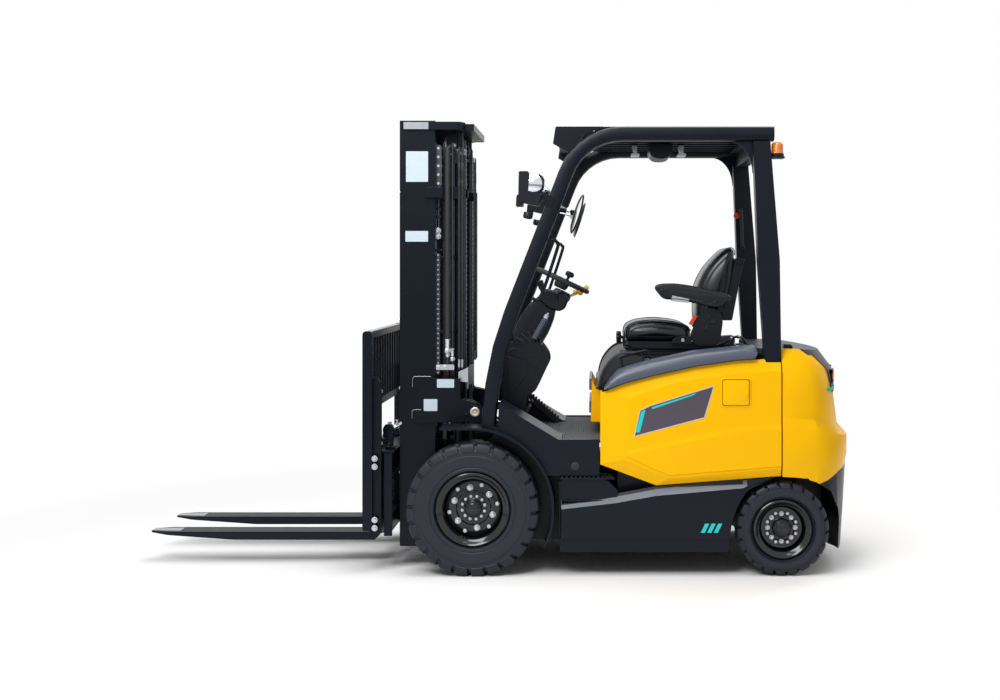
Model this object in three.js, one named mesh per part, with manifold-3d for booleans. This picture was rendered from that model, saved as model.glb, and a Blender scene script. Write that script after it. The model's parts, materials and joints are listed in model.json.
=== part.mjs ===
// A four-wheel electric counterbalance forklift.
// +X points forward, +Y to the driver's left and +Z up; all sizes are in millimetres.
// Pieces are laid out from the middle of the front axle on the ground, and the whole
// machine is then moved so that its origin is on the ground below the middle of its length.

import * as THREE from "three";
import { mergeVertices } from "three/addons/utils/BufferGeometryUtils.js";
import Module from "manifold-3d";

const wasm = await Module();
wasm.setup();

// ---------------------------------------------------------------- driving dimensions

const FIT = 0.3; // the gap between pieces that touch

const WHEELBASE = 1525;
const TAIL_X = -1922;
const FORK_TIP_X = 1688;

const FRONT_TYRE = { radius: 327.5, width: 175, y: 487.5, rim: 181, seat: 158 };
const REAR_TYRE = { radius: 228.5, width: 155, y: 482.5, rim: 145, seat: 124 };
const AXLE_TUBE_R = 70;
const KINGPIN_Y = 370;
const REAR_ARCH_R = 252;

const BODY_Y = 545; // the outer face of the yellow side panels
const PANEL_THICK = 32;
const SKIRT_Y = 560;
const SKIRT_THICK = 20;
const SKIRT_BOTTOM = 119;
const FLOOR_Z = 660;
const SEAM_X = -1525; // where the side panels end and the counterweight begins

const GUARD_Y = 510;
const GUARD_WIDE = 70;
const GUARD_DEEP = 73;
const GUARD_TOP = 2216;

const RAIL = { back: 211, front: 391, outer: 335, inner: 262, plate: 18, bottom: 101, top: 2263 };
const INNER_RAIL = { back: 236, front: 366, outer: 313, inner: 200, plate: 18, bottom: 200, top: 2215 };
const MAST_CROWN = { back: 17, thick: 35, wide: 300, narrow: 255 };
const LIFT_CYLINDER = { x: 98, y: 235, barrel: 30, bore: 22, rod: 18, bottom: 140, top: 2120 };
const SHEAVE = { x: 130, z: 2150, radius: 44, y: 165 };
const CHAIN = { wide: 26, thick: 16, anchorZ: 1925, rearEnd: 475 };

const TILT_PIN = { x: 6, z: 784, radius: 16 };
const TILT_ANCHOR = { x: -395, z: 622 };
const TILT_Y = 322;

const CARRIAGE = { back: 412, front: 452, half: 450 };
const SHIFTER = { back: 461, front: 499, bottom: 190, top: 600 };
const FORK = { back: 507, face: 549, y: 200, wide: 122, under: 117, top: 159, shank: 606 };
const BACKREST = { back: 501, front: 549, outer: 510, post: 32, bottom: 213, top: 1201, grille: 808 };

const HOOD_HINGE = { x: -1405, z: 1128 };
const STEERING = { x: -430, z: 1447, radius: 153, tilt: 25 };

// ---------------------------------------------------------------- shape helpers

function solid(geometry) {
  const bare = new THREE.BufferGeometry().setAttribute(
    "position", geometry.getAttribute("position").clone(),
  );
  if (geometry.index) bare.setIndex(geometry.index.clone());
  const merged = mergeVertices(bare, 1e-3);
  const triangles = new Uint32Array(merged.index.array);
  const vertices = new Float32Array(merged.attributes.position.array);
  const body = () => {
    return new wasm.Manifold(new wasm.Mesh({ numProp: 3, vertProperties: vertices, triVerts: triangles }));
  };
  const made = body();
  if (made.volume() >= 0) return made;
  for (let i = 0; i < triangles.length; i += 3) {
    [triangles[i + 1], triangles[i + 2]] = [triangles[i + 2], triangles[i + 1]];
  }
  return body();
}

function geometryOf(body) {
  const mesh = body.getMesh();
  const flat = new THREE.BufferGeometry();
  const stride = mesh.numProp;
  const points = new Float32Array((mesh.vertProperties.length / stride) * 3);
  for (let i = 0; i < points.length / 3; i += 1) {
    for (let axis = 0; axis < 3; axis += 1) points[i * 3 + axis] = mesh.vertProperties[i * stride + axis];
  }
  flat.setAttribute("position", new THREE.BufferAttribute(points, 3));
  flat.setIndex(new THREE.BufferAttribute(new Uint32Array(mesh.triVerts), 1));
  const faceted = flat.toNonIndexed();
  faceted.computeVertexNormals();
  return faceted;
}

function join(...pieces) {
  return geometryOf(pieces.map(solid).reduce((whole, piece) => whole.add(piece)));
}

function cut(piece, ...tools) {
  return geometryOf(tools.map(solid).reduce((rest, tool) => rest.subtract(tool), solid(piece)));
}

function common(piece, other) {
  return geometryOf(solid(piece).intersect(solid(other)));
}

function mirrored(geometry) {
  const copy = geometry.index ? geometry.toNonIndexed() : geometry.clone();
  copy.scale(1, -1, 1);
  return geometryOf(solid(copy));
}

function bothSides(piece) {
  return [piece, mirrored(piece)];
}

// A closed outline through [u, v] points; a third number rounds that corner.
function outline(points) {
  const shape = new THREE.Shape();
  const count = points.length;
  const along = (from, to, distance) => {
    const length = Math.hypot(to[0] - from[0], to[1] - from[1]);
    const part = Math.min(distance / length, 0.49);
    return [from[0] + (to[0] - from[0]) * part, from[1] + (to[1] - from[1]) * part];
  };
  points.forEach((corner, i) => {
    const before = points[(i + count - 1) % count];
    const after = points[(i + 1) % count];
    const start = corner[2] ? along(corner, before, corner[2]) : corner;
    if (i === 0) shape.moveTo(start[0], start[1]);
    else shape.lineTo(start[0], start[1]);
    if (corner[2]) {
      const end = along(corner, after, corner[2]);
      shape.quadraticCurveTo(corner[0], corner[1], end[0], end[1]);
    }
  });
  shape.closePath();
  return shape;
}

// Points along an arc, between two angles in degrees.
function arcPoints(centreX, centreZ, radius, from, to, count) {
  const points = [];
  for (let i = 0; i <= count; i += 1) {
    const turn = THREE.MathUtils.degToRad(from + ((to - from) * i) / count);
    points.push([centreX + radius * Math.cos(turn), centreZ + radius * Math.sin(turn)]);
  }
  return points;
}

function extruded(shape, depth, curveSegments = 5) {
  return new THREE.ExtrudeGeometry(shape, { depth, bevelEnabled: false, curveSegments });
}

// A plate whose outline is in side view, [x, z], between two distances across the machine.
function sidePlate(points, y0, y1) {
  return extruded(outline(points), y1 - y0).rotateX(Math.PI / 2).translate(0, y1, 0);
}

// A slab whose outline is in plan, [x, y], between two heights.
function planSlab(points, z0, z1) {
  return extruded(outline(points), z1 - z0).translate(0, 0, z0);
}

// A bar whose section is seen from the front, [y, z], between two distances along the machine.
function frontBar(points, x0, x1) {
  const turn = new THREE.Matrix4().makeBasis(
    new THREE.Vector3(0, 1, 0),
    new THREE.Vector3(0, 0, 1),
    new THREE.Vector3(1, 0, 0),
  );
  return extruded(outline(points), x1 - x0).applyMatrix4(turn).translate(x0, 0, 0);
}

function block(x0, x1, y0, y1, z0, z1) {
  return new THREE.BoxGeometry(x1 - x0, y1 - y0, z1 - z0).translate(
    (x0 + x1) / 2, (y0 + y1) / 2, (z0 + z1) / 2,
  );
}

function rod(from, to, radius, sides = 16) {
  const start = new THREE.Vector3(...from);
  const line = new THREE.Vector3(...to).sub(start);
  const bar = new THREE.CylinderGeometry(radius, radius, line.length(), sides);
  bar.applyQuaternion(new THREE.Quaternion().setFromUnitVectors(
    new THREE.Vector3(0, 1, 0), line.clone().normalize(),
  ));
  return bar.translate(start.x + line.x / 2, start.y + line.y / 2, start.z + line.z / 2);
}

function crossRod(x, z, y0, y1, radius, sides = 16) {
  return rod([x, y0, z], [x, y1, z], radius, sides);
}

// A body turned about the Y axis from a [radius, y] profile.
function turned(profile, sides = 48) {
  return geometryOf(solid(new THREE.LatheGeometry(
    profile.map(([r, y]) => new THREE.Vector2(r, y)),
    sides,
  )));
}

// ---------------------------------------------------------------- materials

const finish = (
  color, roughness, metalness = 0,
) => new THREE.MeshStandardMaterial({ color, roughness, metalness });

const MATERIALS = {
  yellow: finish(0xffc400, 0.35),
  black: finish(0x22252d, 0.5),
  steel: finish(0x8f9296, 0.35, 1),
  chrome: finish(0xd8dadd, 0.12, 1),
  trim: finish(0x4b505c, 0.55),
  mat: finish(0x55585c, 0.85),
  vinyl: finish(0x14161a, 0.6),
  tyre: finish(0x2a2c30, 0.85),
  lamp: finish(0xe8ecf0, 0.15),
  mirror: finish(0xc8d0d8, 0.05, 1),
  amber: finish(0xffa000, 0.25),
  plastic: finish(0x1d1f24, 0.6),
};

// ---------------------------------------------------------------- assembly

const forklift = new THREE.Group();

function add(name, geometry, material, position = [0, 0, 0]) {
  const mesh = new THREE.Mesh(geometry, MATERIALS[material]);
  mesh.name = name;
  mesh.position.set(...position);
  forklift.add(mesh);
}

function addPair(name, geometry, material) {
  add(`left_${name}`, geometry, material);
  add(`right_${name}`, mirrored(geometry), material);
}

// ---------------------------------------------------------------- chassis

function mainFrame() {
  const head = sidePlate(
    [[45, 262], [45, 395], [-60, 520], [-445, 640], [-445, 160], [-60, 235]],
    205,
    225,
  );
  const post = block(-1512, -1442, 430, 490, 490, 1048);
  const beam = block(-1212, -440, 494, 538, 130, 330);
  const whole = join(
    block(-1214, -440, -500, 500, 140, 156),
    block(-452, -440, -262, 262, 140, 640),
    block(-452, -440, -500, 500, 140, 462),
    block(-1222, -1210, -480, 480, 140, 490),
    block(-1512, -1214, -490, 490, 484, 496),
    block(-1512, -1500, -490, 490, 490, 1048),
    block(-1640, -1214, -95, 95, 345, 486),
    ...bothSides(beam),
    ...bothSides(post),
    ...bothSides(head),
  );
  return cut(whole, crossRod(0, FRONT_TYRE.radius, -260, 260, AXLE_TUBE_R + FIT, 32));
}

function driveAxle() {
  const z = FRONT_TYRE.radius;
  const end = FRONT_TYRE.y - 30;
  return join(
    crossRod(0, z, -end, end, AXLE_TUBE_R, 32),
    crossRod(0, z, -110, 110, 128, 32),
    block(-300, 0, -100, 100, 200, 420),
  );
}

function steerAxle() {
  const x = -WHEELBASE;
  const beam = planSlab(
    [
      [x - 88, -130], [x - 40, -330], [x + 40, -330], [x + 88, -130], [x + 88, 130], [x + 40, 330],
      [x - 40, 330], [x - 88, 130],
    ],
    168,
    292,
  );
  const eye = (z0, z1) =>
    planSlab([[x - 40, 300], [x + 40, 300], [x + 38, 392, 30], [x - 38, 392, 30]], z0, z1);
  const pin = rod([x, KINGPIN_Y, 140], [x, KINGPIN_Y, 325], 18);
  return join(
    beam,
    block(x - 80, x + 80, -93, 93, 280, 345 - FIT),
    ...bothSides(eye(286, 306)),
    ...bothSides(eye(152, 172)),
    ...bothSides(pin),
  );
}

function knuckle() {
  const x = -WHEELBASE;
  const z = REAR_TYRE.radius;
  const boss = rod([x, KINGPIN_Y, 178], [x, KINGPIN_Y, 280], 30, 24);
  const stub = crossRod(x, z, KINGPIN_Y, REAR_TYRE.y - 26, 28, 24);
  return cut(join(boss, stub), rod([x, KINGPIN_Y, 130], [x, KINGPIN_Y, 330], 19));
}

function batteryBlock() {
  return block(-1204, -712, -440, 440, 157, 930);
}

function floorPlate() {
  return join(
    sidePlate(
      [[-640, 648], [-640, FLOOR_Z], [-255, FLOOR_Z], [-135, 772], [-126, 763], [-250, 648]],
      -264,
      264,
    ),
    block(-640, -436, -500, 500, 648, FLOOR_Z),
  );
}

function seatFrontPanel() {
  return join(
    block(-640, -628, -508, 508, FLOOR_Z + FIT, 905),
    sidePlate([[-640, 720], [-640, 905], [-612, 905], [-604, 900], [-584, 945], [-579, 720]], -250, 250),
  );
}

function dashCowl() {
  const sheet = sidePlate(
    [[-46, 735], [-66, 937], [-88, 1058], [-100, 1056], [-78, 935], [-58, 735]],
    -438,
    438,
  );
  const slot = block(-200, 0, 275, 365, 700, 912);
  const lift = block(-200, 0, 365, 440, 700, 735 + 30);
  return cut(sheet, ...bothSides(slot), ...bothSides(lift));
}

function fender() {
  const z = FRONT_TYRE.radius;
  const guard = sidePlate(
    [[160, 731], ...arcPoints(0, z, 403, 90, 208, 20), ...arcPoints(0, z, 391, 208, 90, 20), [160, 719]],
    402,
    570,
  );
  const outside = [
    [-124, 731], [-127, 844], [-421, 668], [-624, 668], [-624, 490],
    ...arcPoints(0, z, 398, 156, 108, 8),
  ];
  const inside = [
    [-131, 700], [-131, 826], [-418, 656], [-612, 656], [-612, 470], [-420, 300], [60, 500],
  ];
  const cylinderWay = [[-100, 300], [-100, 832], [-131, 826], [-418, 656], [-436, 656], [-436, 300]];
  const shell = cut(
    sidePlate(outside, 270, 528), sidePlate(inside, 280, 516), sidePlate(cylinderWay, 280, 372),
  );
  const liner = sidePlate(
    [[-436, 145], [-436, 640], [-300, 700], [-140, 716], [20, 560], [30, 430], [-110, 400], [-160, 145]],
    376,
    386,
  );
  return cut(
    join(guard, shell, liner, block(-436, -424, 376, 520, 145, 462)),
    block(-700, -436, 260, 505, 640, 672),
  );
}

function sideSkirt() {
  const x = -WHEELBASE;
  const sheet = sidePlate(
    [
      [-430, SKIRT_BOTTOM], [-1255, SKIRT_BOTTOM], [-1272, 200], [-1518, 300], [-1518, 482],
      [-900, 438], [-705, 402], [-430, 372],
    ],
    SKIRT_Y - SKIRT_THICK,
    SKIRT_Y,
  );
  const step = block(-700, -426, 405, 548, 470, 482);
  const riser = sidePlate([[-700, 380], [-700, 482], [-688, 482], [-688, 380]], 405, 548);
  const arch = crossRod(x, REAR_TYRE.radius, 300, 600, REAR_ARCH_R, 48);
  return cut(join(sheet, step, riser), arch);
}

// The panel's face stands proud of its edge, with a sloping band all the way round.
function bodyPanel() {
  const edge = [
    [-628, 545], [-628, 896], [-760, 947], [-940, 994], [-1110, 1029], [-1290, 1055], [-1437, 1064],
    [-1437, 1048], [-1518, 1048], [-1518, 488], [-905, 442],
  ];
  const face = [
    [-742, 573], [-775, 872], [-860, 905], [-977, 944], [-1110, 970], [-1290, 994], [-1437, 1004],
    [-1470, 1005], [-1518, 1005], [-1518, 528], [-965, 481],
  ];
  const ring = (points, y) => points.map(([x, z]) => new THREE.Vector3(x, z, y));
  const stack = lofted([
    ring(edge, BODY_Y - PANEL_THICK),
    ring(edge, BODY_Y - 20),
    ring(face, BODY_Y),
  ]);
  const belt = lofted([
    ring(
      [
        [-1518, 532], [-965, 487], [-746, 580], [-748, 622], [-823, 654], [-1019, 703], [-1216, 743],
        [-1319, 760], [-1518, 772],
      ],
      BODY_Y - 6,
    ),
    ring(
      [
        [-1518, 541], [-963, 496], [-758, 590], [-762, 598], [-823, 610], [-1019, 650], [-1216, 690],
        [-1319, 710], [-1518, 722],
      ],
      BODY_Y + 5,
    ),
  ]);
  const swap = new THREE.Matrix4().makeBasis(
    new THREE.Vector3(1, 0, 0), new THREE.Vector3(0, 0, 1), new THREE.Vector3(0, 1, 0),
  );
  return join(stack.applyMatrix4(swap), belt.applyMatrix4(swap));
}

function chargePocket(depth) {
  return block(-1364, -1226, BODY_Y - depth, BODY_Y + 5, 835, 968);
}

function chargeFlap() {
  return block(-1362, -1228, BODY_Y - 6, BODY_Y + 2, 837, 966);
}

// The plan outline of the tail at one height: straight front, curved rear. Each ring
// may hang lower at its rear than at its sides.
function tailRing({ side, back = side, half, corner, rear }, grow = 0) {
  const ring = [[SEAM_X, -half - grow, side], [corner, -half - grow, side]];
  const steps = 6;
  for (let i = 1 - steps; i < steps; i += 1) {
    const turn = (i / steps) * (Math.PI / 2);
    const bulge = Math.cos(turn);
    ring.push([
      corner - (corner - rear + grow) * bulge, (half - 12 + grow) * Math.sin(turn),
      side + (back - side) * bulge,
    ]);
  }
  ring.push([corner, half + grow, side], [SEAM_X, half + grow, side]);
  return ring.reverse().map(([x, y, z]) => new THREE.Vector3(x, y, z));
}

// A closed skin over rings of the same number of points, one above the other.
function lofted(rings) {
  const count = rings[0].length;
  const points = rings.flat();
  const index = [];
  for (let r = 0; r < rings.length - 1; r += 1) {
    for (let i = 0; i < count; i += 1) {
      const a = r * count + i;
      const b = r * count + ((i + 1) % count);
      index.push(a, b, b + count, a, b + count, a + count);
    }
  }
  const cap = (ring, offset, upward) => {
    const flat = ring.map((p) => new THREE.Vector2(p.x, p.y));
    for (const face of THREE.ShapeUtils.triangulateShape(flat, [])) {
      const [a, b, c] = face;
      const area = flat[b].clone().sub(flat[a]).cross(flat[c].clone().sub(flat[a]));
      index.push(...(area > 0 === upward ? [a, b, c] : [a, c, b]).map((i) => offset + i));
    }
  };
  cap(rings[0], 0, false);
  cap(rings[rings.length - 1], (rings.length - 1) * count, true);
  const skin = new THREE.BufferGeometry();
  skin.setAttribute(
    "position",
    new THREE.Float32BufferAttribute(points.flatMap((p) => [p.x, p.y, p.z]), 3),
  );
  skin.setIndex(index);
  return skin;
}

const TAIL_RINGS = [
  { side: 93, half: 470, corner: -1740, rear: -1886 },
  { side: 300, half: 500, corner: -1730, rear: -1900 },
  { side: 440, back: 548, half: 528, corner: -1700, rear: -1916 },
  { side: 530, back: 575, half: 550, corner: -1700, rear: TAIL_X },
  { side: 722, back: 652, half: 550, corner: -1700, rear: TAIL_X },
  { side: 770, back: 712, half: 541, corner: -1680, rear: -1868 },
  { side: 880, half: 541, corner: -1670, rear: -1846 },
  { side: 1027, back: 1005, half: 530, corner: -1640, rear: -1832 },
  { side: 1112, back: 1092, half: 462, corner: -1600, rear: -1768 },
];
const TAIL_WEB = 110; // the wall between the wheel wells
const BUMPER_LINE = { side: 405, back: 565, half: 575, corner: -1700, rear: -1962 };

function tailHull(grow = 0) {
  return lofted(TAIL_RINGS.map((ring) => tailRing(ring, grow)));
}

// The space under the tail where the steered wheels swing, with the arch seen from the side.
function wheelWells() {
  const reach = [
    [0, 80], [309, 80], [309, 260], [300, 310], [283, 355], [252, 407], [232, 435], [212, 460],
    [212, 478], [0, 478],
  ];
  const turn = new THREE.LatheGeometry(
    reach.map(([r, z]) => new THREE.Vector2(r, z)),
    40,
  ).rotateX(Math.PI / 2);
  const arch = sidePlate(
    [[-1500, 60], [-1500, 488], [-1621, 480], [-1693, 459], [-1773, 407], [-1797, 360], [-1803, 60]],
    TAIL_WEB / 2,
    620,
  );
  const axle = block(-1665, -1500, -180, 180, 90, 488);
  const swing = geometryOf(solid(turn.translate(-WHEELBASE, KINGPIN_Y, 0)));
  return [axle, ...bothSides(arch), ...bothSides(swing)];
}

// The bumper is the lower tail, below a line that climbs from its sides to its middle.
function bumperRegion(grow) {
  const top = { ...BUMPER_LINE, side: BUMPER_LINE.side - grow, back: BUMPER_LINE.back - grow };
  return lofted([tailRing({ ...BUMPER_LINE, side: 60, back: 60 }), tailRing(top)]);
}

function coverRegion(grow) {
  return sidePlate(
    [
      [-1400, 1300], [-1400, 1082 - grow], [-1690, 1082 - grow], [-1772 + grow, 1000],
      [-1806 + grow, 884 - grow], [-2000, 884 - grow], [-2000, 1300],
    ],
    -450 - grow,
    450 + grow,
  );
}

function counterweight() {
  return cut(tailHull(), bumperRegion(-FIT), coverRegion(FIT), ...wheelWells());
}

function rearCover() {
  const shell = common(tailHull(6), coverRegion(0));
  return join(shell, block(-1530, -1416, -424, 424, 1082, 1112));
}

function rearBumper() {
  return cut(common(tailHull(), bumperRegion(0)), ...wheelWells());
}

// ---------------------------------------------------------------- overhead guard

// A closed bar whose rounded section follows [x, z] points at one distance across.
function sweptBar(line, y, deep, wide, corner) {
  const section = outline([
    [-deep / 2, -wide / 2, corner], [deep / 2, -wide / 2, corner],
    [deep / 2, wide / 2, corner], [-deep / 2, wide / 2, corner],
  ]).getPoints(2);
  section.pop();
  const rings = line.map(([x, z], i) => {
    const [ax, az] = line[Math.max(i - 1, 0)];
    const [bx, bz] = line[Math.min(i + 1, line.length - 1)];
    const length = Math.hypot(bx - ax, bz - az);
    const normal = [-(bz - az) / length, (bx - ax) / length];
    return section.map((p) => [x + normal[0] * p.x, y + p.y, z + normal[1] * p.x]);
  });
  const count = section.length;
  const index = [];
  for (let r = 0; r < rings.length - 1; r += 1) {
    for (let i = 0; i < count; i += 1) {
      const a = r * count + i;
      const b = r * count + ((i + 1) % count);
      index.push(a, b + count, b, a, a + count, b + count);
    }
  }
  const last = (rings.length - 1) * count;
  for (let i = 1; i < count - 1; i += 1) index.push(0, i, i + 1, last, last + i + 1, last + i);
  const skin = new THREE.BufferGeometry();
  skin.setAttribute("position", new THREE.Float32BufferAttribute(rings.flat(2), 3));
  skin.setIndex(index);
  return geometryOf(solid(skin));
}

function guardRail() {
  const half = GUARD_DEEP / 2;
  const straight = [[-71, 731 + FIT], [-94, 937], [-130, 1118], [-186, 1291]];
  const bend = arcPoints(-737, GUARD_TOP - half - 300, 300, 20, 90, 7);
  const line = [...straight, ...bend, [-1490, GUARD_TOP - half]];
  return sweptBar(line, GUARD_Y - GUARD_WIDE / 2, GUARD_DEEP, GUARD_WIDE, 22);
}

function rearHoop() {
  const top = GUARD_TOP - GUARD_DEEP - FIT;
  const leg = sidePlate(
    [[-1443, 1050 + FIT], [-1408, 1553], [-1385, top], [-1469, top], [-1516, 1553], [-1523, 1050 + FIT]],
    GUARD_Y - GUARD_WIDE,
    GUARD_Y,
  );
  const between = GUARD_Y - GUARD_WIDE - FIT;
  return join(
    ...bothSides(leg),
    block(-1462, -1400, -between - 5, between + 5, 2085, top),
    block(-1462, -1400, -between, between, top - 5, 2207),
  );
}

function roofGuard() {
  const inside = GUARD_Y - GUARD_WIDE - FIT;
  const bars = [];
  for (let i = -3; i <= 3; i += 1) bars.push(block(-1390, -440, i * 112 - 9, i * 112 + 9, 2170, 2209));
  const bracket = sidePlate(
    [[-404, 2222, 8], [-640, 2222], [-640, 2212], [-560, 2195], [-490, 2109], [-470, 2091], [-391, 2137]],
    418,
    436,
  );
  return join(
    block(-520, -408, -430, 430, 2159, 2209),
    block(-1396, -1360, -inside, inside, 2159, 2209),
    block(-1440, -600, -inside + 12, inside - 12, 2208, 2222),
    ...bothSides(bracket),
    ...bars,
  );
}

function headlamp() {
  return join(block(-354, -222, 450, 520, 1850, 1975), block(-378, -350, 470, 500, 1890, 1930));
}

function mirror() {
  const disc = rod([-501, 398, 1788], [-514, 398, 1784], 103, 32);
  return join(disc, rod([-500, 400, 1790], [-402, 430, 1826], 9, 12));
}

function beacon() {
  return join(
    rod([-1508, 475, 2080], [-1508, 475, 2140], 31, 24),
    block(-1542, -1478, 440, 508, 2056, 2084),
  );
}

// ---------------------------------------------------------------- controls

function steeringColumn() {
  const pedestal = [
    [-132, 777], [-128, 1000], [-140, 1095, 20], [-180, 1110], [-300, 1062, 20], [-345, 1010, 20],
    [-340, 930, 30], [-262, 840], [-258, 668], [-250, 668],
  ];
  const column = [
    [-160, 1090], [-150, 1125, 20], [-245, 1300, 30], [-318, 1402, 20], [-352, 1412], [-448, 1370, 15],
    [-430, 1310, 30], [-380, 1265, 30], [-300, 1115], [-300, 1050],
  ];
  return join(sidePlate(pedestal, -110, 110), sidePlate(column, -52, 52));
}

function steeringWheel() {
  const rim = new THREE.TorusGeometry(STEERING.radius - 12, 12, 8, 32);
  const hub = new THREE.CylinderGeometry(32, 40, 50, 24).rotateX(Math.PI / 2).translate(0, 0, -18);
  const spoke = (turn) => new THREE.BoxGeometry(STEERING.radius - 20, 26, 8).translate(
    (STEERING.radius - 20) / 2, 0, -4,
  ).rotateZ(turn);
  const turns = [90, 210, 330].map(THREE.MathUtils.degToRad);
  const knob = new THREE.CylinderGeometry(14, 20, 44, 16).rotateX(Math.PI / 2);
  knob.translate(STEERING.radius - 12, 0, 24);
  return join(
    rim,
    hub,
    knob,
    ...turns.map(spoke),
    new THREE.BoxGeometry(STEERING.radius - 20, 20, 8).translate(66, 0, -4),
  );
}

function pedals() {
  const pad = (y0, y1) => sidePlate([[-232, 735], [-262, 790], [-254, 796], [-222, 741]], y0, y1);
  return join(
    pad(-190, -125), pad(-262, -200), block(-228, -214, -262, -125, 724, 738),
    block(-228, -216, -200, -188, 700, 730),
  );
}

// ---------------------------------------------------------------- hood and seat

function hood() {
  const trim = sidePlate(
    [
      [-646, 925], [-712, 1011], [-881, 1063], [-1088, 1106], [-1400, 1134], [-1400, 1070],
      [-1290, 1061], [-1110, 1035], [-940, 1000], [-760, 953], [-646, 910],
    ],
    470,
    BODY_Y - 2,
  );
  const deck = sidePlate(
    [
      [-604, 912], [-640, 955], [-760, 1010], [-1400, 1050], [-1400, 1036], [-760, 996], [-650, 942],
      [-616, 912],
    ],
    -475,
    475,
  );
  return join(deck, ...bothSides(trim));
}

function seatBase() {
  const hinge = sidePlate(
    [
      [-1100, 1118], [-1096, 1180, 30], [-1180, 1292, 30], [-1238, 1285, 30], [-1248, 1180],
      [-1225, 1118, 20],
    ],
    214,
    246,
  );
  return join(
    block(-1160, -770, -165, 165, 1038, 1106),
    block(-1225, -1100, -240, 240, 1094, 1122),
    ...bothSides(hinge),
  );
}

function seatCushion() {
  return sidePlate(
    [
      [-762, 1126, 25], [-758, 1205, 50], [-900, 1254, 60], [-985, 1255, 60], [-1094, 1205, 30],
      [-1094, 1126, 15],
    ],
    -205,
    205,
  );
}

function seatBackrest() {
  const pad = [
    [-1139, 1215, 30], [-1132, 1420, 60], [-1222, 1560, 60], [-1296, 1626, 30], [-1336, 1608, 30],
    [-1306, 1400], [-1262, 1280], [-1222, 1215, 30],
  ];
  const shell = [[-1330, 1562], [-1379, 1556], [-1316, 1240], [-1268, 1240], [-1262, 1290]];
  return join(
    sidePlate(pad, -205, 205), sidePlate(shell, -150, 150), crossRod(-1205, 1262, -213, 213, 12),
  );
}

function armrest() {
  const pad = [
    [-900, 1408, 15], [-925, 1432, 15], [-1015, 1436], [-1125, 1420], [-1296, 1376, 20],
    [-1280, 1335, 20], [-1226, 1308, 20], [-1090, 1336], [-956, 1352, 20],
  ];
  return join(sidePlate(pad, 250, 300), crossRod(-1252, 1345, 206, 260, 14));
}

// ---------------------------------------------------------------- mast

function outerMast() {
  const { back, front, outer, inner, plate, bottom, top } = RAIL;
  const web = block(back, front, outer - 15, outer, bottom, top);
  const flangeBack = block(back, back + plate, inner, outer, bottom, top);
  const flangeFront = block(front - plate, front, inner, outer, bottom, top);
  const gusset = (z0, z1) => block(100, back + 4, 272, outer, z0, z1);
  const barrel = rod(
    [LIFT_CYLINDER.x, LIFT_CYLINDER.y, LIFT_CYLINDER.bottom],
    [LIFT_CYLINDER.x, LIFT_CYLINDER.y, LIFT_CYLINDER.top],
    LIFT_CYLINDER.barrel,
    24,
  );
  const bore = rod(
    [LIFT_CYLINDER.x, LIFT_CYLINDER.y, LIFT_CYLINDER.bottom + 60],
    [LIFT_CYLINDER.x, LIFT_CYLINDER.y, LIFT_CYLINDER.top + 20],
    LIFT_CYLINDER.bore,
    24,
  );
  const arm = sidePlate(
    [[back + 4, 470], [0, 427.5, 60], [-100, 400, 60], [-100, 250, 60], [0, 227.5], [back + 4, 180]],
    272,
    300,
  );
  const bearing = crossRod(0, FRONT_TYRE.radius, 240, 300, 104, 32);
  const axle = crossRod(0, FRONT_TYRE.radius, 200, 420, AXLE_TUBE_R + 2, 32);
  const earLine = (front, top) => [
    [TILT_PIN.x - 34, TILT_PIN.z - 51, 30], [TILT_PIN.x - 34, TILT_PIN.z + 24, 30],
    [20, 838], [82, 850], [82, top], [front, top], [front, 733],
  ];
  const ear = sidePlate(earLine(300, 953), 344, 354);
  const earIn = sidePlate(earLine(215, 940), 292, 300);
  const pin = crossRod(TILT_PIN.x, TILT_PIN.z, 294, 352, TILT_PIN.radius);
  const clevis = (y) => block(60, 104, y, y + 5, 1880, CHAIN.anchorZ);
  const side = join(
    web, flangeBack, flangeFront, gusset(1865, 1925), gusset(860, 930), gusset(110, 230),
    barrel, arm, bearing, ear, earIn, pin, clevis(145), clevis(182),
    block(215, 300, 330, 352, 733, 960), block(190, 216, 292, 335, 733, 940),
  );
  const opened = cut(side, bore, axle);
  const crossZ = [[1865, 1925], [860, 930], [140, 230]];
  return join(
    ...bothSides(opened),
    ...crossZ.map(([z0, z1]) => cut(block(100, 158, -280, 280, z0, z1), ...bothSides(bore))),
    block(150, back + plate, -outer, outer, bottom, 135),
  );
}

function innerMast() {
  const { back, front, outer, inner, plate, bottom, top } = INNER_RAIL;
  const web = block(back, front, 250, 262, bottom, top + 10);
  const flangeBack = block(back, back + plate, inner, outer, bottom, top + 10);
  const flangeFront = block(front - plate, front, inner, outer, bottom, top + 10);
  const liftRod = rod(
    [LIFT_CYLINDER.x, LIFT_CYLINDER.y, 300], [LIFT_CYLINDER.x, LIFT_CYLINDER.y, top + 10],
    LIFT_CYLINDER.rod, 20,
  );
  const cheek = (y) => block(90, 172, y, y + 6, 2110, top + 5);
  const crownTop = top + MAST_CROWN.thick;
  const rails = join(web, flangeBack, flangeFront, liftRod, cheek(139), cheek(185));
  const whole = join(
    ...bothSides(rails),
    block(205, front, -MAST_CROWN.narrow, MAST_CROWN.narrow, top, crownTop),
    block(MAST_CROWN.back, 205, -MAST_CROWN.wide, MAST_CROWN.wide, top, crownTop),
    block(207, back + 6, -252, 252, 260, 360),
  );
  return cut(whole, crossRod(SHEAVE.x, SHEAVE.z, -200, 200, 12 + FIT));
}

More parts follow.
